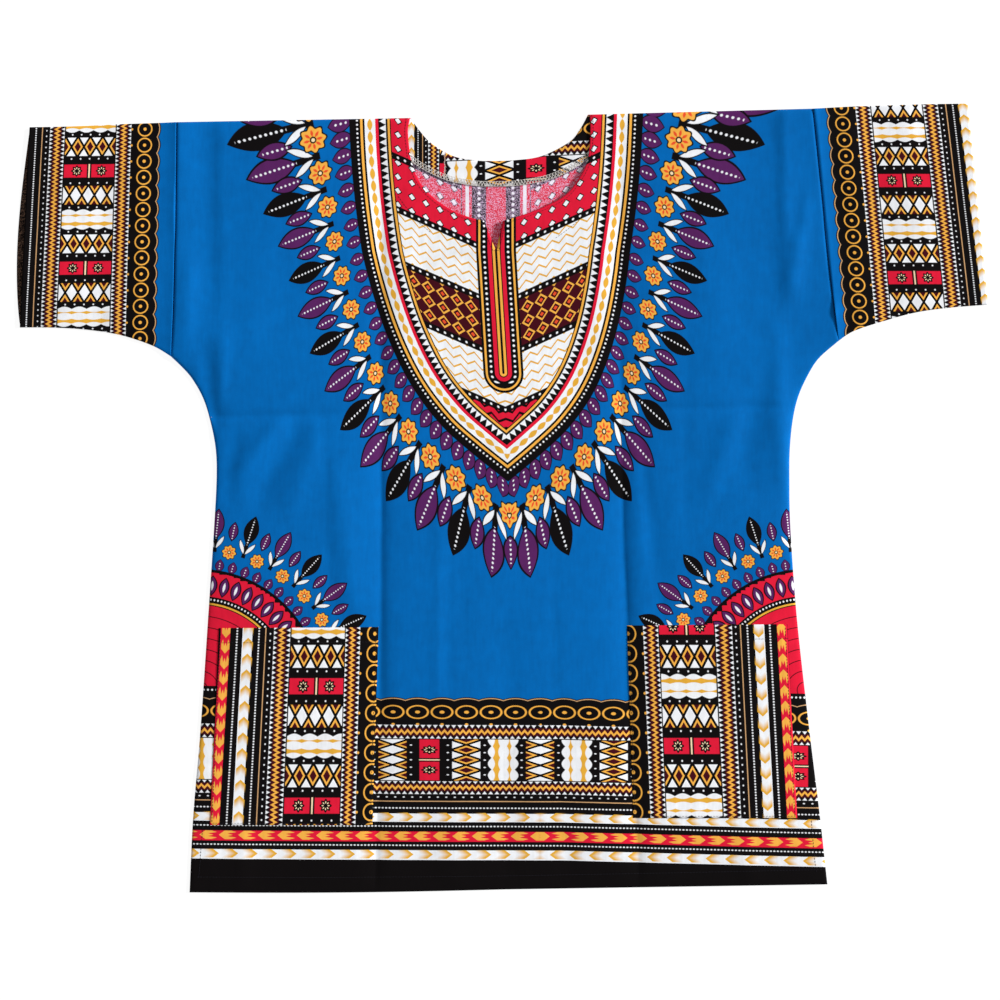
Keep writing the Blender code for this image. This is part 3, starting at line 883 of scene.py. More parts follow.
def crossed(a, b):
    # the area that two arrows span
    return a[:, 0] * b[:, 1] - a[:, 1] * b[:, 0]


def ruled(table, out):
    # a share of the way out, straight from the yoke's edge to the fringe's
    return table[:, :2] * (1 - out) + table[:, 2:] * out


def yokeFields(x, y):
    # in mm: where each point is in the fringe's cells, and how deep it is inside the yoke's edge
    beside = x - lineX(centreLine, y)
    half = np.abs(beside)
    rows = np.asarray(yoke["rows"])
    last = len(rows) - 1
    fine = np.linspace(0, last, 1201)
    curve = through(rows, fine)
    centre = (curve[:, :2] + curve[:, 2:]) / 2
    cells = runLength(centre[:, 0], centre[:, 1])
    cells = cells / np.interp(last - 1, fine, cells) * yoke["cells"]
    distance, index = nearest(half, y, curve)
    # inside where the point is nearer the middle than the edge is at its height
    deep = np.where(half < np.interp(y, curve[:, 1], curve[:, 0], left=-1.0), distance, -distance)
    roundEdge = runLength(curve[:, 0], curve[:, 1])[index]

    # ruled lines from the yoke's edge to the fringe's: the nearest of a net of samples, then Newton steps
    row, out = np.meshgrid(np.linspace(0, last, 110), np.linspace(-0.1, 1.2, 14), indexing="ij")
    row, out = row.ravel(), out.ravel()
    near = (half < 330) & (y > -120)
    _, start = nearest(half[near], y[near], ruled(through(rows, row), out[:, None]))
    row, out = row[start], out[start][:, None]
    step = 0.02
    for _ in range(4):
        at = through(rows, row)
        span = np.clip(row + step, 0, last) - np.clip(row - step, 0, last)
        slope = (through(rows, row + step) - through(rows, row - step)) / span[:, None]
        alongRow, alongOut = ruled(slope, out), at[:, 2:] - at[:, :2]
        miss = np.stack([half[near], y[near]], 1) - ruled(at, out)
        area = crossed(alongRow, alongOut)
        row = np.clip(row + np.clip(crossed(miss, alongOut) / area, -0.3, 0.3), 0, last)
        out = out + np.clip(crossed(alongRow, miss) / area, -0.3, 0.3)[:, None]
    cellsPerRow = (np.interp(row + step, fine, cells) - np.interp(row - step, fine, cells)) / span
    cell, outward, pitch = np.zeros_like(x), np.full_like(x, 9.0), np.full_like(x, 30.0)
    cell[near] = np.interp(row, fine, cells)
    outward[near] = out[:, 0]
    width = np.linalg.norm(alongOut, axis=1)
    pitch[near] = np.linalg.norm(alongRow, axis=1) / cellsPerRow * fringe["deep"] / width
    return beside, deep, roundEdge, cell, outward * fringe["deep"], pitch


def printFields(points, lift):
    # the place attributes of a body panel, and which cloth each point belongs to
    x, y = points[:, 0] / mm, points[:, 1] / mm
    top = np.asarray(hem["top"])
    low = -y - np.interp(x, top[:, 0], top[:, 1])
    beside, deep, roundEdge, cell, out, pitch = yokeFields(x, y - lift)
    kind = np.zeros(len(x), int)
    kind[(out > -20) & (out < 80)] = 3
    kind[deep >= 0] = 2
    yokePlace = np.stack([deep, roundEdge, beside], 1)
    edge, ring, cells = sideRound["edge"], sideRound["fringe"], sideRound["cells"]
    for middle, side in ((sideRound["left"], -1), (sideRound["right"], 1)):
        dx, dy = x - middle[0], y - middle[1]
        fromMiddle = np.hypot(dx, dy)
        turn = np.arctan2(-side * dx, dy)
        here = (fromMiddle < edge + ring * 1.07) & (x * side > 127)
        scale = fringe["deep"] / ring
        cell[here] = (turn * cells / math.pi)[here]
        out[here] = ((fromMiddle - edge) * scale)[here]
        pitch[here] = (fromMiddle * math.pi / cells * scale)[here]
        kind[here] = 3
        within = here & (fromMiddle < edge)
        kind[within] = 4
        yokePlace[within] = np.stack([edge - fromMiddle, turn * sideRound["leafRadius"], low], 1)[within]
    across = np.interp(low, *hem["print"])
    along = np.abs(x - hem["middle"]) / hem["stretch"]
    kind[low > -5.0] = 1
    fields = {
        "borderPlace": np.stack([along, across, x], 1),
        "yokePlace": yokePlace,
        "fringePlace": np.stack([cell, out, pitch], 1),
    }
    return fields, kind


panel = {
    "seamEdge": 0.0017,       # height of the front at the side and shoulder seams, the armholes and the hem
    "armholeEdge": 0.0040,
    "hemEdge": 0.0019,
    "seamReach": (0.0007, 0.0035),
    "neckEdge": (0.0005, 0.0007),    # where the neck edge is turned: how far down, how near
    "backLift": 0.0009,       # how far the back rises at its seams, and at its hem, and how near
    "backLiftReach": 0.003,
    "backHemLift": 0.0003,
    "backHemReach": 0.004,
    "backUneven": 0.00012,
    "backYokeLift": 24.0,     # the back's yoke stands that many mm higher
}
frontSize = {"neckRows": 50, "slitRows": 12, "belowRows": 216, "outerColumns": 50, "innerColumns": 32}
backSize = {"neckRows": 40, "slitRows": 0, "belowRows": 150, "outerColumns": 24, "innerColumns": 18}


def bodyRows(neckline, size):
    # for each row down a body panel: its section number, and its inner points left and right
    share = np.arange(size["neckRows"]) / size["neckRows"]
    neckSection = 1.0 if size["slitRows"] else 0.5
    sections = [neckSection * share]
    inner = [through(neckline, share * (len(neckline) - 1))]
    top = np.asarray(neckline[-1], float)
    firstSection, startX, startY = neckSection, top[0], top[1]
    if size["slitRows"]:
        share = np.arange(size["slitRows"]) / size["slitRows"]
        firstSection, startY = float(slitTipSection), centreLine[0][1]
        sections.append(between(neckSection, firstSection, share))
        tip = np.asarray(centreLine[0] * 2, float)
        inner.append(top + (tip - top) * share[:, None])
    many = np.linspace(firstSection, len(bodySections) - 1, 800)
    edges = sideEdges(many)
    run = runLength((edges[:, 1] + edges[:, 3]) / 2, edges[:, 0] * 0.5)
    below = np.interp(np.linspace(0, run[-1], size["belowRows"] + 1), run, many)
    below[np.argmin(np.abs(below - underarmSection))] = underarmSection
    edges = sideEdges(below)
    middle = (edges[:, 1] + edges[:, 3]) / 2
    share = (middle[0] - middle) / (middle[0] - middle[-1])
    y = between(startY, centreLine[-1][1], share)
    x = lineX(centreLine, y) if size["slitRows"] else between(startX, centreLine[-1][0], share)
    sections.append(below)
    inner.append(np.stack([x, y, x, y], 1))
    return np.concatenate(sections), np.concatenate(inner)


def bodyPanel(name, neckline, size, materials, isFront):
    # each half is ruled straight across from its side edge to the long crease, and on to the neck or centre
    sections, inner = bodyRows(neckline, size)
    edges = sideEdges(sections)
    outerShare = denseAtEnds(size["outerColumns"], 0.55)
    innerShare = denseAtEnds(size["innerColumns"], 0.40)
    rows = len(sections)
    firstWhole = size["neckRows"] + size["slitRows"]
    halves = []
    for side, pair, fold in ((-1, slice(0, 2), leftFold), (1, slice(2, 4), rightFold)):
        outerPoint, innerPoint = edges[:, pair], inner[:, pair]
        foldX = lineX(fold, between(outerPoint[:, 1], innerPoint[:, 1], 0.6))
        foldShare = (foldX - outerPoint[:, 0]) / (innerPoint[:, 0] - outerPoint[:, 0])
        foldPoint = np.stack([foldX, between(outerPoint[:, 1], innerPoint[:, 1], foldShare)], 1)
        a = outerPoint[:, None] + (foldPoint - outerPoint)[:, None] * outerShare[None, :-1, None]
        b = foldPoint[:, None] + (innerPoint - foldPoint)[:, None] * innerShare[None, :, None]
        flat = np.concatenate([a, b], 1) * mm
        if side < 0:
            across = (flat[:, :, 0] - flat[:, :1, 0]) / (flat[:, -1:, 0] - flat[:, :1, 0])
            down = (sections / (len(bodySections) - 1))[:, None]
            flat[:, :, 1] -= hemBow * np.sin(math.pi * across) * down ** 4
        z = panelHeight(flat, (sections <= underarmSection)[:, None], firstWhole, isFront)
        halves.append(np.concatenate([flat, z[..., None]], -1))
    columns = halves[0].shape[1]
    index = np.arange(2 * rows * columns).reshape(2, rows, columns)
    index[1, firstWhole:, -1] = index[0, firstWhole:, -1]
    points = np.concatenate([half.reshape(-1, 3) for half in halves])
    faces = np.concatenate([gridFaces(rows, columns, index[0]), gridFaces(rows, columns, index[1, :, ::-1])])
    used = np.unique(faces)
    renumber = np.full(len(points), -1)
    renumber[used] = np.arange(len(used))
    points, faces = points[used], renumber[faces]
    fields, kind = printFields(points, 0.0 if isFront else panel["backYokeLift"])
    kind = kind[faces]
    kinds = np.where((kind == 3).any(1), 3, kind.max(1))
    kinds[(kind == 1).any(1)] = 1
    return makeMesh(name, points, faces.tolist(), fields, materials, kinds)


def panelHeight(flat, atArmhole, firstWhole, isFront):
    # the front lies as frontLie says and bends down to its seams; the flat back rises a little to its own
    x, y = flat[..., 0], flat[..., 1]
    fromSide, fromInner, fromTop, fromHem = (
        np.linalg.norm(flat - edge, axis=2) for edge in (flat[:, :1], flat[:, -1:], flat[:1], flat[-1:])
    )
    if not isFront:
        reach = panel["backLiftReach"]
        lift = np.where(atArmhole, 0, np.exp(-fromSide / reach)) + np.exp(-fromTop / reach)
        uneven = unevenness(x, y, (0.04, 0.06), 21) * smooth(fromHem / 0.02) ** 2 + 1
        z = cloth["thickness"] + panel["backLift"] * np.minimum(lift, 1) + panel["backUneven"] * uneven
        return z + panel["backHemLift"] * np.exp(-fromHem / panel["backHemReach"])
    sideEdge = np.where(atArmhole, panel["armholeEdge"], panel["seamEdge"])
    z = meet(frontLie(x, y), sideEdge, fromSide, *panel["seamReach"])
    z = meet(z, panel["seamEdge"], fromTop, *panel["seamReach"])
    z = meet(z, panel["hemEdge"], fromHem, *panel["seamReach"])
    drop, near = panel["neckEdge"]
    edge = drop * np.exp(-fromInner / near)
    edge[firstWhole:] = 0
    return z - edge


frontPanel = bodyPanel("frontPanel", frontNeckline, frontSize, bodyCloths + bodyWrong, True)
giveThickness(frontPanel, len(bodyCloths))
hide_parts("front_body")
print("front panel made")

backPanel = bodyPanel("backPanel", backNeckline, backSize, bodyWrong + bodyCloths, False)
giveThickness(backPanel, len(bodyCloths))
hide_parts("back_body")
print("back panel made")

sleeveSize = {
    "stations": 60, "backColumns": 40, "frontColumns": 84, "foldColumns": 6, "length": 0.150,
    "cuffPeek": 0.0068,        # how far the left cuff's back layer stands out past its front one
    "cuffRise": 0.45,          # the share of its rise that the front layer keeps at the cuff
    "seamEdge": 0.0043, "seamReach": (0.0006, 0.003),
}
# in pixels: the height that the border is measured from, where its scalloped edge and its thin line are
# there, and how far each moves with a pixel down; then where the print starts along the cuff, and its lean
sleevePrint = {
    -1: {"from": 122.0, "scallop": (158.5, -0.0216), "line": (43.0, -0.0507), "start": 0.0, "lean": 0.015},
    1: {"from": 108.0, "scallop": (827.8, 0.0864), "line": (945.9, 0.1184), "start": 108.0, "lean": 0.0},
}

sleeveFolds = (
    (178, 100, 173, 360, 1.7, 10, 3, 0), (812, 90, 838, 346, 1.5, 3, 10, 0),
    (64, 118, 60, 330, 0.35, 12, 14, 1), (104, 120, 100, 332, -0.4, 13, 12, 1),
    (140, 118, 138, 345, 0.45, 9, 8, 1), (36, 122, 32, 330, -0.3, 8, 8, 1),
    (24, 226, 176, 232, -0.25, 12, 12, 1), (20, 300, 120, 312, 0.3, 9, 9, 1),
    (872, 104, 890, 316, -0.4, 13, 12, 1), (908, 102, 926, 310, 0.4, 12, 12, 1),
    (846, 106, 862, 330, 0.45, 9, 8, 1), (948, 104, 968, 306, -0.3, 9, 8, 1),
    (830, 214, 984, 206, -0.25, 11, 12, 1), (824, 352, 834, 306, 0.8, 4, 5, 1),
    (838, 345, 858, 300, -0.5, 6, 6, 1),
)


def armholeBow(side, share):
    # how far the armhole seam bows from a straight line, at shares of the way up it
    pair = slice(0, 2) if side < 0 else slice(2, 4)
    curve = sideEdges(np.linspace(underarmSection, 0, 60))[:, pair]
    way = (curve[:, 1] - curve[0, 1]) / (curve[-1, 1] - curve[0, 1])
    bow = curve[:, 0] - (curve[0, 0] + (curve[-1, 0] - curve[0, 0]) * way)
    return np.interp(share, way, bow) * mm


def borderFields(along, across):
    # the place attribute of a piece that has only the border on it
    return {"borderPlace": np.stack([along, across, 0 * across], -1)}


def makeSleeve(name, sections, side, materials):
    # a flattened tube: out along the back layer, round the fold at the top, back along the front layer,
    # and round the underarm seam; each station is the same loop between its top and underarm points
    size = sleeveSize
    share = np.linspace(0, 1, size["stations"] + 1)[:, None]
    table = through(sections, share[:, 0] * (len(sections) - 1)) * mm
    top, under = table[:, None, :2], table[:, None, 2:]
    width = np.linalg.norm(top - under, axis=2)
    radius = frontTop / 2
    flatWidth = width - 2 * radius
    fromArmhole = share * size["length"]
    back = np.linspace(0, 1, size["backColumns"] + 1)
    angle = np.linspace(0, math.pi, size["foldColumns"] + 1)[1:-1]
    front = radius + flatWidth * np.linspace(1, 0, size["frontColumns"] + 1)
    rise = pillow(front) * pillow(width - front) * pillow(fromArmhole)
    rise = rise * between(size["cuffRise"], 1.0, pillow(size["length"] - fromArmhole))
    # the loop's four runs: how far up from the underarm, and how high
    runs = (
        (radius + flatWidth * back, 0.0),
        (width - radius + radius * np.sin(angle), radius - radius * np.cos(angle)),
        (front, frontTop + cloth["pillowRise"] * rise),
        (radius - radius * np.sin(angle) + 0 * width, radius + radius * np.cos(angle)),
    )
    up = np.concatenate([run for run, high in runs], 1)
    high = np.concatenate([np.broadcast_to(high, run.shape) for run, high in runs], 1)
    flat = under + (top - under) / width[:, :, None] * up[:, :, None]
    x, y = flat[..., 0] + armholeBow(side, up / width) * (1 - share), flat[..., 1]
    if side < 0:   # the back layer stands out past the front one at the cuff
        x[:, :len(back)] -= size["cuffPeek"] * np.sin(math.pi * back ** 0.8) * smooth(share * 6 - 5)
    inFront = np.zeros_like(x)
    inFront[:, size["backColumns"] + size["foldColumns"] // 2:] = 1
    uneven = cloth["foldStrength"] * foldRelief(x, y, sleeveFolds) + rumple(x, y, sleeveUneven)
    z = high + inFront * uneven * smooth((high - radius) / radius)
    seamed = meet(z, size["seamEdge"], fromArmhole, *size["seamReach"])
    z = np.where(inFront * (high > size["seamEdge"]) > 0, seamed, z)
    points = np.stack([x, y, z], -1)
    rows, columns = x.shape
    index = np.arange(rows * columns).reshape(rows, columns)
    index = np.concatenate([index, index[:, :1]], 1)
    faces = gridFaces(rows, columns + 1, index if side < 0 else index[:, ::-1])

    # the print: 118 border millimetres from the scalloped edge to the thin line
    px, py = toPixels(x, y)
    at = sleevePrint[side]
    down = py - at["from"]
    scallop = at["scallop"][0] + at["scallop"][1] * down
    line = at["line"][0] + at["line"][1] * down
    across = (px - scallop) / (line - scallop) * border["lineAt"]
    if side > 0:
        across = np.where(across > border["lineAt"], border["lineAt"] + (px - line) * 0.92, across)
    across = np.minimum(across, np.where((inFront == 0) | (side < 0), 127.5, 137.5))
    along = py - at["start"] + (px - 176.5) * at["lean"]
    return makeMesh(name, points, faces.tolist(), borderFields(along, across), materials)


leftSleeve = makeSleeve("leftSleeve", leftSleeveSections, -1, (borderCloth, fadedBorder))
rightSleeve = makeSleeve("rightSleeve", rightSleeveSections, 1, (borderCloth, fadedBorder))
for sleeve, node in ((leftSleeve, "left_sleeve"), (rightSleeve, "right_sleeve")):
    giveThickness(sleeve)
    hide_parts(node)
print("sleeves made")

facing = {
    "rows": 90, "columns": 14, "height": 0.0017, "uneven": 0.0002,
    "seamHeight": 0.00105, "seamReach": (0.0006, 0.002),    # where it is sewn to the back neckline
    "edgeHeight": 0.00125, "edgeReach": (0.0008, 0.004),    # where its free edge lies
    # the print, in pixels: what lies at the middle, how it tilts and stretches, and the turned corner
    "across": 34.5, "acrossFrom": 151.0, "tilt": 0.05, "stretch": 1.155,
    "cornerEnd": 445.0, "cornerAcross": 102.0, "cornerFrom": 434.0, "cornerStretch": 1.4,
}


def makeFacing():
    # ruled from the back neckline down to the facing's own edge
    size = facing
    share = np.linspace(0, len(backNeckline) - 1, size["rows"] + 1)
    upper, lower = through(backNeckline, share), through(facingEdge, share)
    start = np.concatenate([upper[:, :2], upper[::-1, 2:][1:]])[:, None] * mm
    end = np.concatenate([lower[:, :2], lower[::-1, 2:][1:]])[:, None] * mm
    across = np.linspace(0, 1, size["columns"] + 1)
    flat = between(start, end, across[:, None])
    width = np.linalg.norm(end - start, axis=2)
    z = size["height"] + size["uneven"] * unevenness(flat[..., 0], flat[..., 1], (0.03, 0.03), 15)
    z = meet(z, size["seamHeight"], width * across, *size["seamReach"])
    z = meet(z, size["edgeHeight"], width * (1 - across), *size["edgeReach"])
    points = np.concatenate([flat, z[..., None]], -1)
    faces = gridFaces(*z.shape)[:, ::-1]
    px, py = toPixels(flat[..., 0], flat[..., 1])
    across = size["across"] + (py - size["acrossFrom"] + size["tilt"] * (px - 500)) * size["stretch"]
    turned = size["cornerAcross"] + (size["cornerFrom"] - px) * size["cornerStretch"]
    corner = px < size["cornerEnd"]
    fields = borderFields(np.where(corner, py, px / hem["stretch"] + 11.0), np.where(corner, turned, across))
    return makeMesh("neckFacing", points, faces.tolist(), fields, (borderCloth, fadedBorder))


neckFacing = makeFacing()
giveThickness(neckFacing)
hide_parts("back_neck_facing")

pocketSize = {
    "columns": 60, "rows": 70,
    "puff": 0.00035, "uneven": 0.00018,               # how far the middle stands off the front
    "turned": 0.00022, "turnedWidth": 0.006,          # the folded edge under the stitching
    "edgeDrop": 0.0005, "edgeReach": 0.0007,
    # shares of the way from the rings to the last strip, and where the border has what lies there
    "print": (
        (-0.08, 0.0, 0.147, 0.196, 0.542, 0.606, 0.711, 0.754, 0.792, 0.856, 0.897, 0.940, 1.0, 1.10),
        (1.7, 13.4, 34.95, 43.5, 94.0, 102.5, 118.0, 124.4, 129.2, 138.0, 143.3, 148.4, 157.8, 173.5),
    ),
    # in pixels, at the top edge and how far it moves down the pocket: the rings, then the last strip
    "left": ((375.0, -4.0), (221.8, -11.1)), "right": ((628.0, 7.0), (786.0, 10.0)),
    "top": 632.0, "height": 183.0, "stretch": 1.23,
}


def makePocket(name, corners, ends, way):
    # the front's own height over four corners, moved out
    size = pocketSize
    lowLeft, lowRight, highRight, highLeft = (np.asarray(corner) * mm for corner in corners)
    across = denseAtEnds(size["columns"], 0.75)[None, :, None]
    down = denseAtEnds(size["rows"], 0.75)[:, None, None]
    flat = between(between(highLeft, highRight, across), between(lowLeft, lowRight, across), down)
    x, y = flat[..., 0], flat[..., 1]
    sideways = np.linalg.norm(highRight - highLeft) * np.minimum(across, 1 - across)[..., 0]
    upward = np.linalg.norm(highLeft - lowLeft) * np.minimum(down, 1 - down)[..., 0]
    fromEdge = np.minimum(sideways, upward)
    puff = size["puff"] * smooth(fromEdge / 0.03)
    puff = puff + size["uneven"] * unevenness(x, y, (0.04, 0.04), 17) * smooth(fromEdge / 0.02)
    turned = smooth(fromEdge / 0.0008) - smooth((fromEdge - size["turnedWidth"]) / 0.002)
    z = frontLie(x, y) + cloth["seamGap"] + cloth["thickness"] + puff + size["turned"] * turned
    z = z - size["edgeDrop"] * np.exp(-fromEdge / size["edgeReach"])
    points = np.concatenate([flat, z[..., None]], -1)
    px, py = toPixels(x, y)
    down = (py - size["top"]) / size["height"]
    rings, strip = (at + moves * down for at, moves in ends)
    across = np.interp((px - rings) / (strip - rings), *size["print"])
    fields = borderFields(py * way / size["stretch"], across)
    return makeMesh(name, points, gridFaces(*x.shape).tolist(), fields, (borderCloth, fadedBorder))


leftPocket = makePocket("leftPocket", leftPocketCorners, pocketSize["left"], 1)
rightPocket = makePocket("rightPocket", rightPocketCorners, pocketSize["right"], -1)
for pocket, node in ((leftPocket, "left_pocket"), (rightPocket, "right_pocket")):
    giveThickness(pocket)
    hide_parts(node)
print("pockets made")


def threadCotton(name, colour, roughness):
    # spun cotton: its colour and its relief both come from the same soft noise
    material, tree, shader = newMaterial(name, roughness, 0.12)
    noise = noiseAt(tree, tree.nodes.new("ShaderNodeTexCoord").outputs["Object"], 700.0)
    dark = tuple(value * 0.6 for value in dye(colour)[:3]) + (1.0,)
    paint = Paint(tree, dark).over(noise.times(1.6, -0.3), dye(colour))
    tree.links.new(paint.colour, shader.inputs["Base Color"])
    addRelief(tree, shader, noise, 0.4)
    return material


darkThread = threadCotton("darkThread", "23222B", 0.7)
paleThread = threadCotton("paleThread", "F2ECE6", 0.75)
thread = {"length": 0.0026, "pitch": 0.0031, "radius": 0.00020, "rings": 5, "sides": 6, "neckMargin": 0.0030}


def alongLine(line, run, at):
    # the points of a line at distances along it
    return np.stack([np.interp(at, run, line[:, 0]), np.interp(at, run, line[:, 1])], 1)


def evenly(line, pitch):
    # places along a line of points at even steps, with the directions there
    run = runLength(line[:, 0], line[:, 1])
    at = np.arange(pitch / 2, run[-1], pitch)
    way = alongLine(line, run, at + pitch * 0.3) - alongLine(line, run, at - pitch * 0.3)
    return alongLine(line, run, at), way / np.linalg.norm(way, axis=1)[:, None]


def shiftedLine(line, distance):
    # the same line, moved over to its right-hand side
    way = np.gradient(line, axis=0)
    way = way / np.linalg.norm(way, axis=1)[:, None]
    return line + distance * np.stack([way[:, 1], -way[:, 0]], 1)


def threadMesh(name, middles, ways, length, radius, height, material):
    # one short thread at each place: rings round its run, whose radius goes as the square root of 1 less the
    # square of the way along, closed at its ends
    rings, sides = thread["rings"], thread["sides"]
    share = np.linspace(-0.86, 0.86, rings)
    turn = np.linspace(0, 2 * math.pi, sides, endpoint=False)
    thick = radius * np.sqrt(1 - share ** 2)
    along = np.concatenate([[-1.0], np.repeat(share, sides), [1.0]])
    out = np.concatenate([[0], (thick[:, None] * np.cos(turn)).ravel(), [0]])
    up = np.concatenate([[0], (thick[:, None] * np.sin(turn)).ravel(), [0]])
    across = np.stack([ways[:, 1], -ways[:, 0]], 1)
    flat = middles[:, None] + ways[:, None] * (length / 2 * along)[:, None] + across[:, None] * out[:, None]
    z = height(flat[..., 0], flat[..., 1]) + up + radius * (0.75 - 1.1 * along ** 2)
    points = np.concatenate([flat, z[..., None]], -1)
    ring = np.arange(sides)
    after = (ring + 1) % sides
    last = 1 + rings * sides
    end = last - sides
    faces = [np.stack([0 * ring, 1 + after, 1 + ring, 1 + ring], 1)]
    for first in range(1, end, sides):
        second = first + sides
        faces.append(np.stack([first + ring, first + after, second + after, second + ring], 1))
    faces.append(np.stack([end + ring, end + after, last + 0 * ring, last + 0 * ring], 1))
    starts = np.arange(len(middles)) * len(along)
    whole = (np.concatenate(faces)[None] + starts[:, None, None]).reshape(-1, 4)
    faces = [list(dict.fromkeys(face)) for face in whole.tolist()]   # a corner that comes twice is one
    return makeMesh(name, points, faces, materials=(material,))


def sewn(name, lines, pitch, length, radius, height, material, slant=0.0):
    # threads at even steps along lines; slanting ones lie across their line and lean to and fro
    placed = [evenly(line, pitch) for line in lines]
    middles = np.concatenate([part[0] for part in placed])
    ways = np.concatenate([part[1] for part in placed])
    if slant:
        lean = np.where(np.arange(len(ways)) % 2 == 0, slant, -slant)[:, None]
        ways = np.stack([-ways[:, 1], ways[:, 0]], 1) + ways * lean
        ways = ways / np.linalg.norm(ways, axis=1)[:, None]
    threadMesh(name, middles, ways, length, radius, height, material)


def stitchRow(name, lines, height):
    # a row of dark machine stitches
    sewn(name, lines, thread["pitch"], thread["length"], thread["radius"], height, darkThread)


def pixelLine(*points):
    # a fine line through pixels of the picture, in metres
    points = np.asarray(points, float)
    fine = np.linspace(0, len(points) - 1, 40)
    px, py = (np.interp(fine, np.arange(len(points)), points[:, axis]) for axis in (0, 1))
    return np.stack([(px - picture["originX"]) * mm, (picture["originY"] - py) * mm], 1)


neck = through(frontNeckline, np.linspace(0.05, len(frontNeckline) - 1, 120))
neckLeft, neckRight = neck[:, :2], neck[:, 2:]
slitLeft = np.linspace(neckLeft[-1], centreLine[0], 14)[1:-1]
slitRight = np.linspace(centreLine[0], neckRight[-1], 14)[1:-1]
neckEdge = np.concatenate([neckLeft, slitLeft, slitRight, neckRight[::-1]]) * mm
frontStitching = {
    "neckStitching": [shiftedLine(neckEdge, thread["neckMargin"])],
    "facingCatchStitches": [
        pixelLine((398, 196), (405, 206), (418, 222), (430, 232)),
        pixelLine((592, 206), (583, 217), (566, 231), (556, 238)),
    ],
    "ventStitching": [
        pixelLine((203, 826), (200.4, 858), (198.6, 878)),
        pixelLine((811.4, 820), (814.6, 858), (816.4, 872)),
    ],
    "hemStitching": [pixelLine((196, 877), (330, 877.5), (502, 876), (660, 873), (822, 869.5))],
}
for name, lines in frontStitching.items():
    stitchRow(name, lines, frontLie)


def pocketTop(x, y):
    # the height of a pocket's outer face at its edges
    return frontLie(x, y) + cloth["seamGap"] + cloth["thickness"] + 0.0002


for name, corners in (
    ("leftPocketStitching", leftPocketCorners),
    ("rightPocketStitching", rightPocketCorners),
):
    lowLeft, lowRight, highRight, highLeft = (np.asarray(corner) * mm for corner in corners)
    middle = (lowLeft + highRight) / 2
    inset = np.array([0.026, 0.021])   # shares of the way in from a corner to the middle
    inner = [between(corner, middle, inset) for corner in (highLeft, lowLeft, lowRight, highRight)]
    lines = [np.linspace(a, b, 60) for a, b in zip(inner[:-1], inner[1:])]
    lines.append(np.linspace(between(highLeft, lowLeft, 0.075), between(highRight, lowRight, 0.075), 60))
    stitchRow(name, lines, pocketTop)

# the facing's overlocked edge: slanting threads over the edge and two that run along it
overlock = {
    "deep": 0.0054, "pitch": 0.0016, "slant": 0.30, "radius": 0.00030, "height": 0.0017,
    "runs": (0.0050, 0.0003), "runPitch": 0.0030, "runLength": 0.0034,
}
edgeTable = through(facingEdge, np.linspace(0, len(facingEdge) - 1, 160))
edgeLine = np.concatenate([edgeTable[:, :2], edgeTable[::-1, 2:][1:]]) * mm


def overlockTop(x, y):
    # the level that the overlocking lies at
    return overlock["height"] + 0 * x


sewn(
    "overlockBars", [shiftedLine(edgeLine, -overlock["deep"] * 0.45)], overlock["pitch"], overlock["deep"],
    overlock["radius"], overlockTop, paleThread, overlock["slant"],
)
sewn(
    "overlockRuns", [shiftedLine(edgeLine, -offset) for offset in overlock["runs"]], overlock["runPitch"],
    overlock["runLength"], overlock["radius"], overlockTop, paleThread,
)
print("threads made")

# floor, lights and camera
studio = {
    "floor": 0.15, "floorGlow": 0.90, "floorHalf": 4.0, "floorHeight": -0.0004,
    # a large soft lamp far off to the right, low, so that creases show
    "key": {"from": (0.87, 0.26, 0.405), "angle": 12.0, "strength": 4.85},
    "fill": {"at": (-0.6, 0.4, 3.2), "size": 3.0, "power": 12},
    "world": 0.31, "lens": 100, "sensor": 36,
}
floorMaterial, _, floorShader = newMaterial("floorPaper", 0.9, 0.5)
floorShader.inputs["Base Color"].default_value = (studio["floor"],) * 3 + (1,)
floorShader.inputs["Emission Color"].default_value = (1, 1, 1, 1)
floorShader.inputs["Emission Strength"].default_value = studio["floorGlow"]
floorMesh = bpy.data.meshes.new("floor")
side = studio["floorHalf"]
corners = [(x * side, y * side, studio["floorHeight"]) for x, y in ((-1, -1), (1, -1), (1, 1), (-1, 1))]
floorMesh.from_pydata(corners, [], [(0, 1, 2, 3)])
floorMesh.materials.append(floorMaterial)
linked("floor", floorMesh)

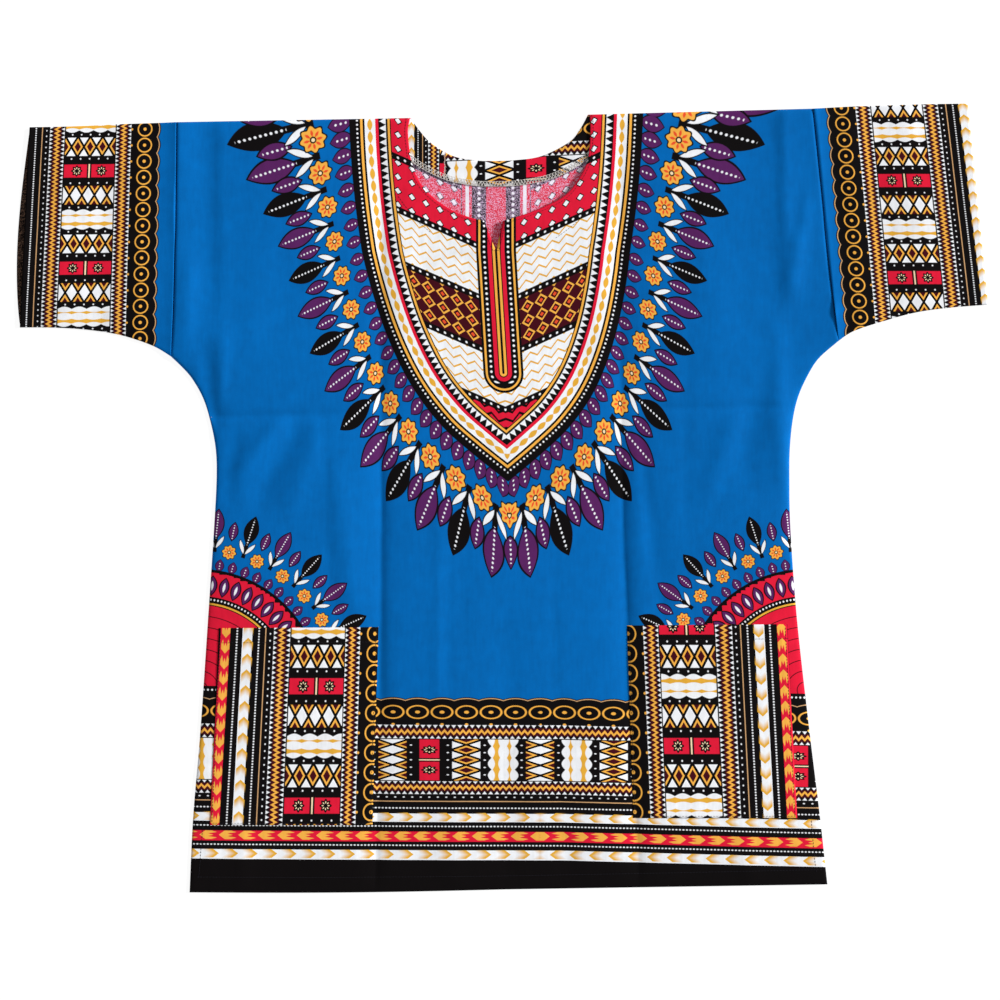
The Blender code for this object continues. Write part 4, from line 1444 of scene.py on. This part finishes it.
key = bpy.data.lights.new("keyLight", "SUN")
key.angle = math.radians(studio["key"]["angle"])
key.energy = studio["key"]["strength"]
keyX, keyY, keyZ = studio["key"]["from"]
keyTurn = (math.atan2(math.hypot(keyX, keyY), keyZ), 0, math.atan2(keyY, keyX) + math.pi / 2)
linked("keyLight", key).rotation_euler = keyTurn
fill = bpy.data.lights.new("fillLight", "AREA")
fill.size = studio["fill"]["size"]
fill.energy = studio["fill"]["power"]
linked("fillLight", fill).location = studio["fill"]["at"]
world = bpy.data.worlds.new("studioWorld")
world.use_nodes = True
world.node_tree.nodes["Background"].inputs["Color"].default_value = (1, 1, 1, 1)
world.node_tree.nodes["Background"].inputs["Strength"].default_value = studio["world"]
bpy.context.scene.world = world
bpy.context.scene.view_settings.view_transform = "Standard"

camera = bpy.data.cameras.new("camera")
camera.lens = studio["lens"]
camera.sensor_width = studio["sensor"]
half = picture["side"] / 2
cameraObject = linked("camera", camera)
cameraObject.location = (
    (half - picture["originX"]) * picture["metresPerPixel"],
    (picture["originY"] - half) * picture["metresPerPixel"],
    picture["side"] * picture["metresPerPixel"] * camera.lens / camera.sensor_width + frontTop,
)
bpy.context.scene.camera = cameraObject
print("stage, lights and camera set")


def outlineArea(*sides):
    # the area inside an outline, from its sides in mm one after another (half the sum of x times the next y,
    # less y times the next x)
    x, y = np.concatenate(sides).T * mm
    return round(float(abs(np.sum(x * np.roll(y, -1) - y * np.roll(x, -1))) / 2), 4)


def bodyArea(neckline, slitTip):
    # a body panel, down its left side, up its right one, and round the neck
    edges = sideEdges(np.linspace(0, len(bodySections) - 1, 300))
    neck = through(neckline, np.linspace(0, len(neckline) - 1, 100))
    return outlineArea(edges[:, :2], edges[::-1, 2:], neck[:, 2:], [slitTip], neck[::-1, :2])


def sleeveArea(sections, pair):
    # both layers of the tube, from the armhole's curve out to the cuff
    armhole = sideEdges(np.linspace(underarmSection, 0, 60))[:, pair]
    table = np.asarray(sections)
    return 2 * outlineArea(armhole, table[:, :2], table[::-1, 2:])


def facingArea():
    # the strip between the back neckline and the facing's own edge
    fine = np.linspace(0, len(facingEdge) - 1, 60)
    upper, lower = through(backNeckline, fine), through(facingEdge, fine)
    return outlineArea(upper[:, :2], upper[::-1, 2:], lower[:, 2:], lower[::-1, :2])


# each cloth piece and the flat size it was cut to, with the area inside its outline
frontArea, backArea = bodyArea(frontNeckline, centreLine[0]), bodyArea(backNeckline, backNeckline[-1][:2])
leftArea = sleeveArea(leftSleeveSections, slice(0, 2))
rightArea = sleeveArea(rightSleeveSections, slice(2, 4))
print("flat areas from the outlines:", frontArea, backArea, leftArea, rightArea, facingArea())
facingArea()
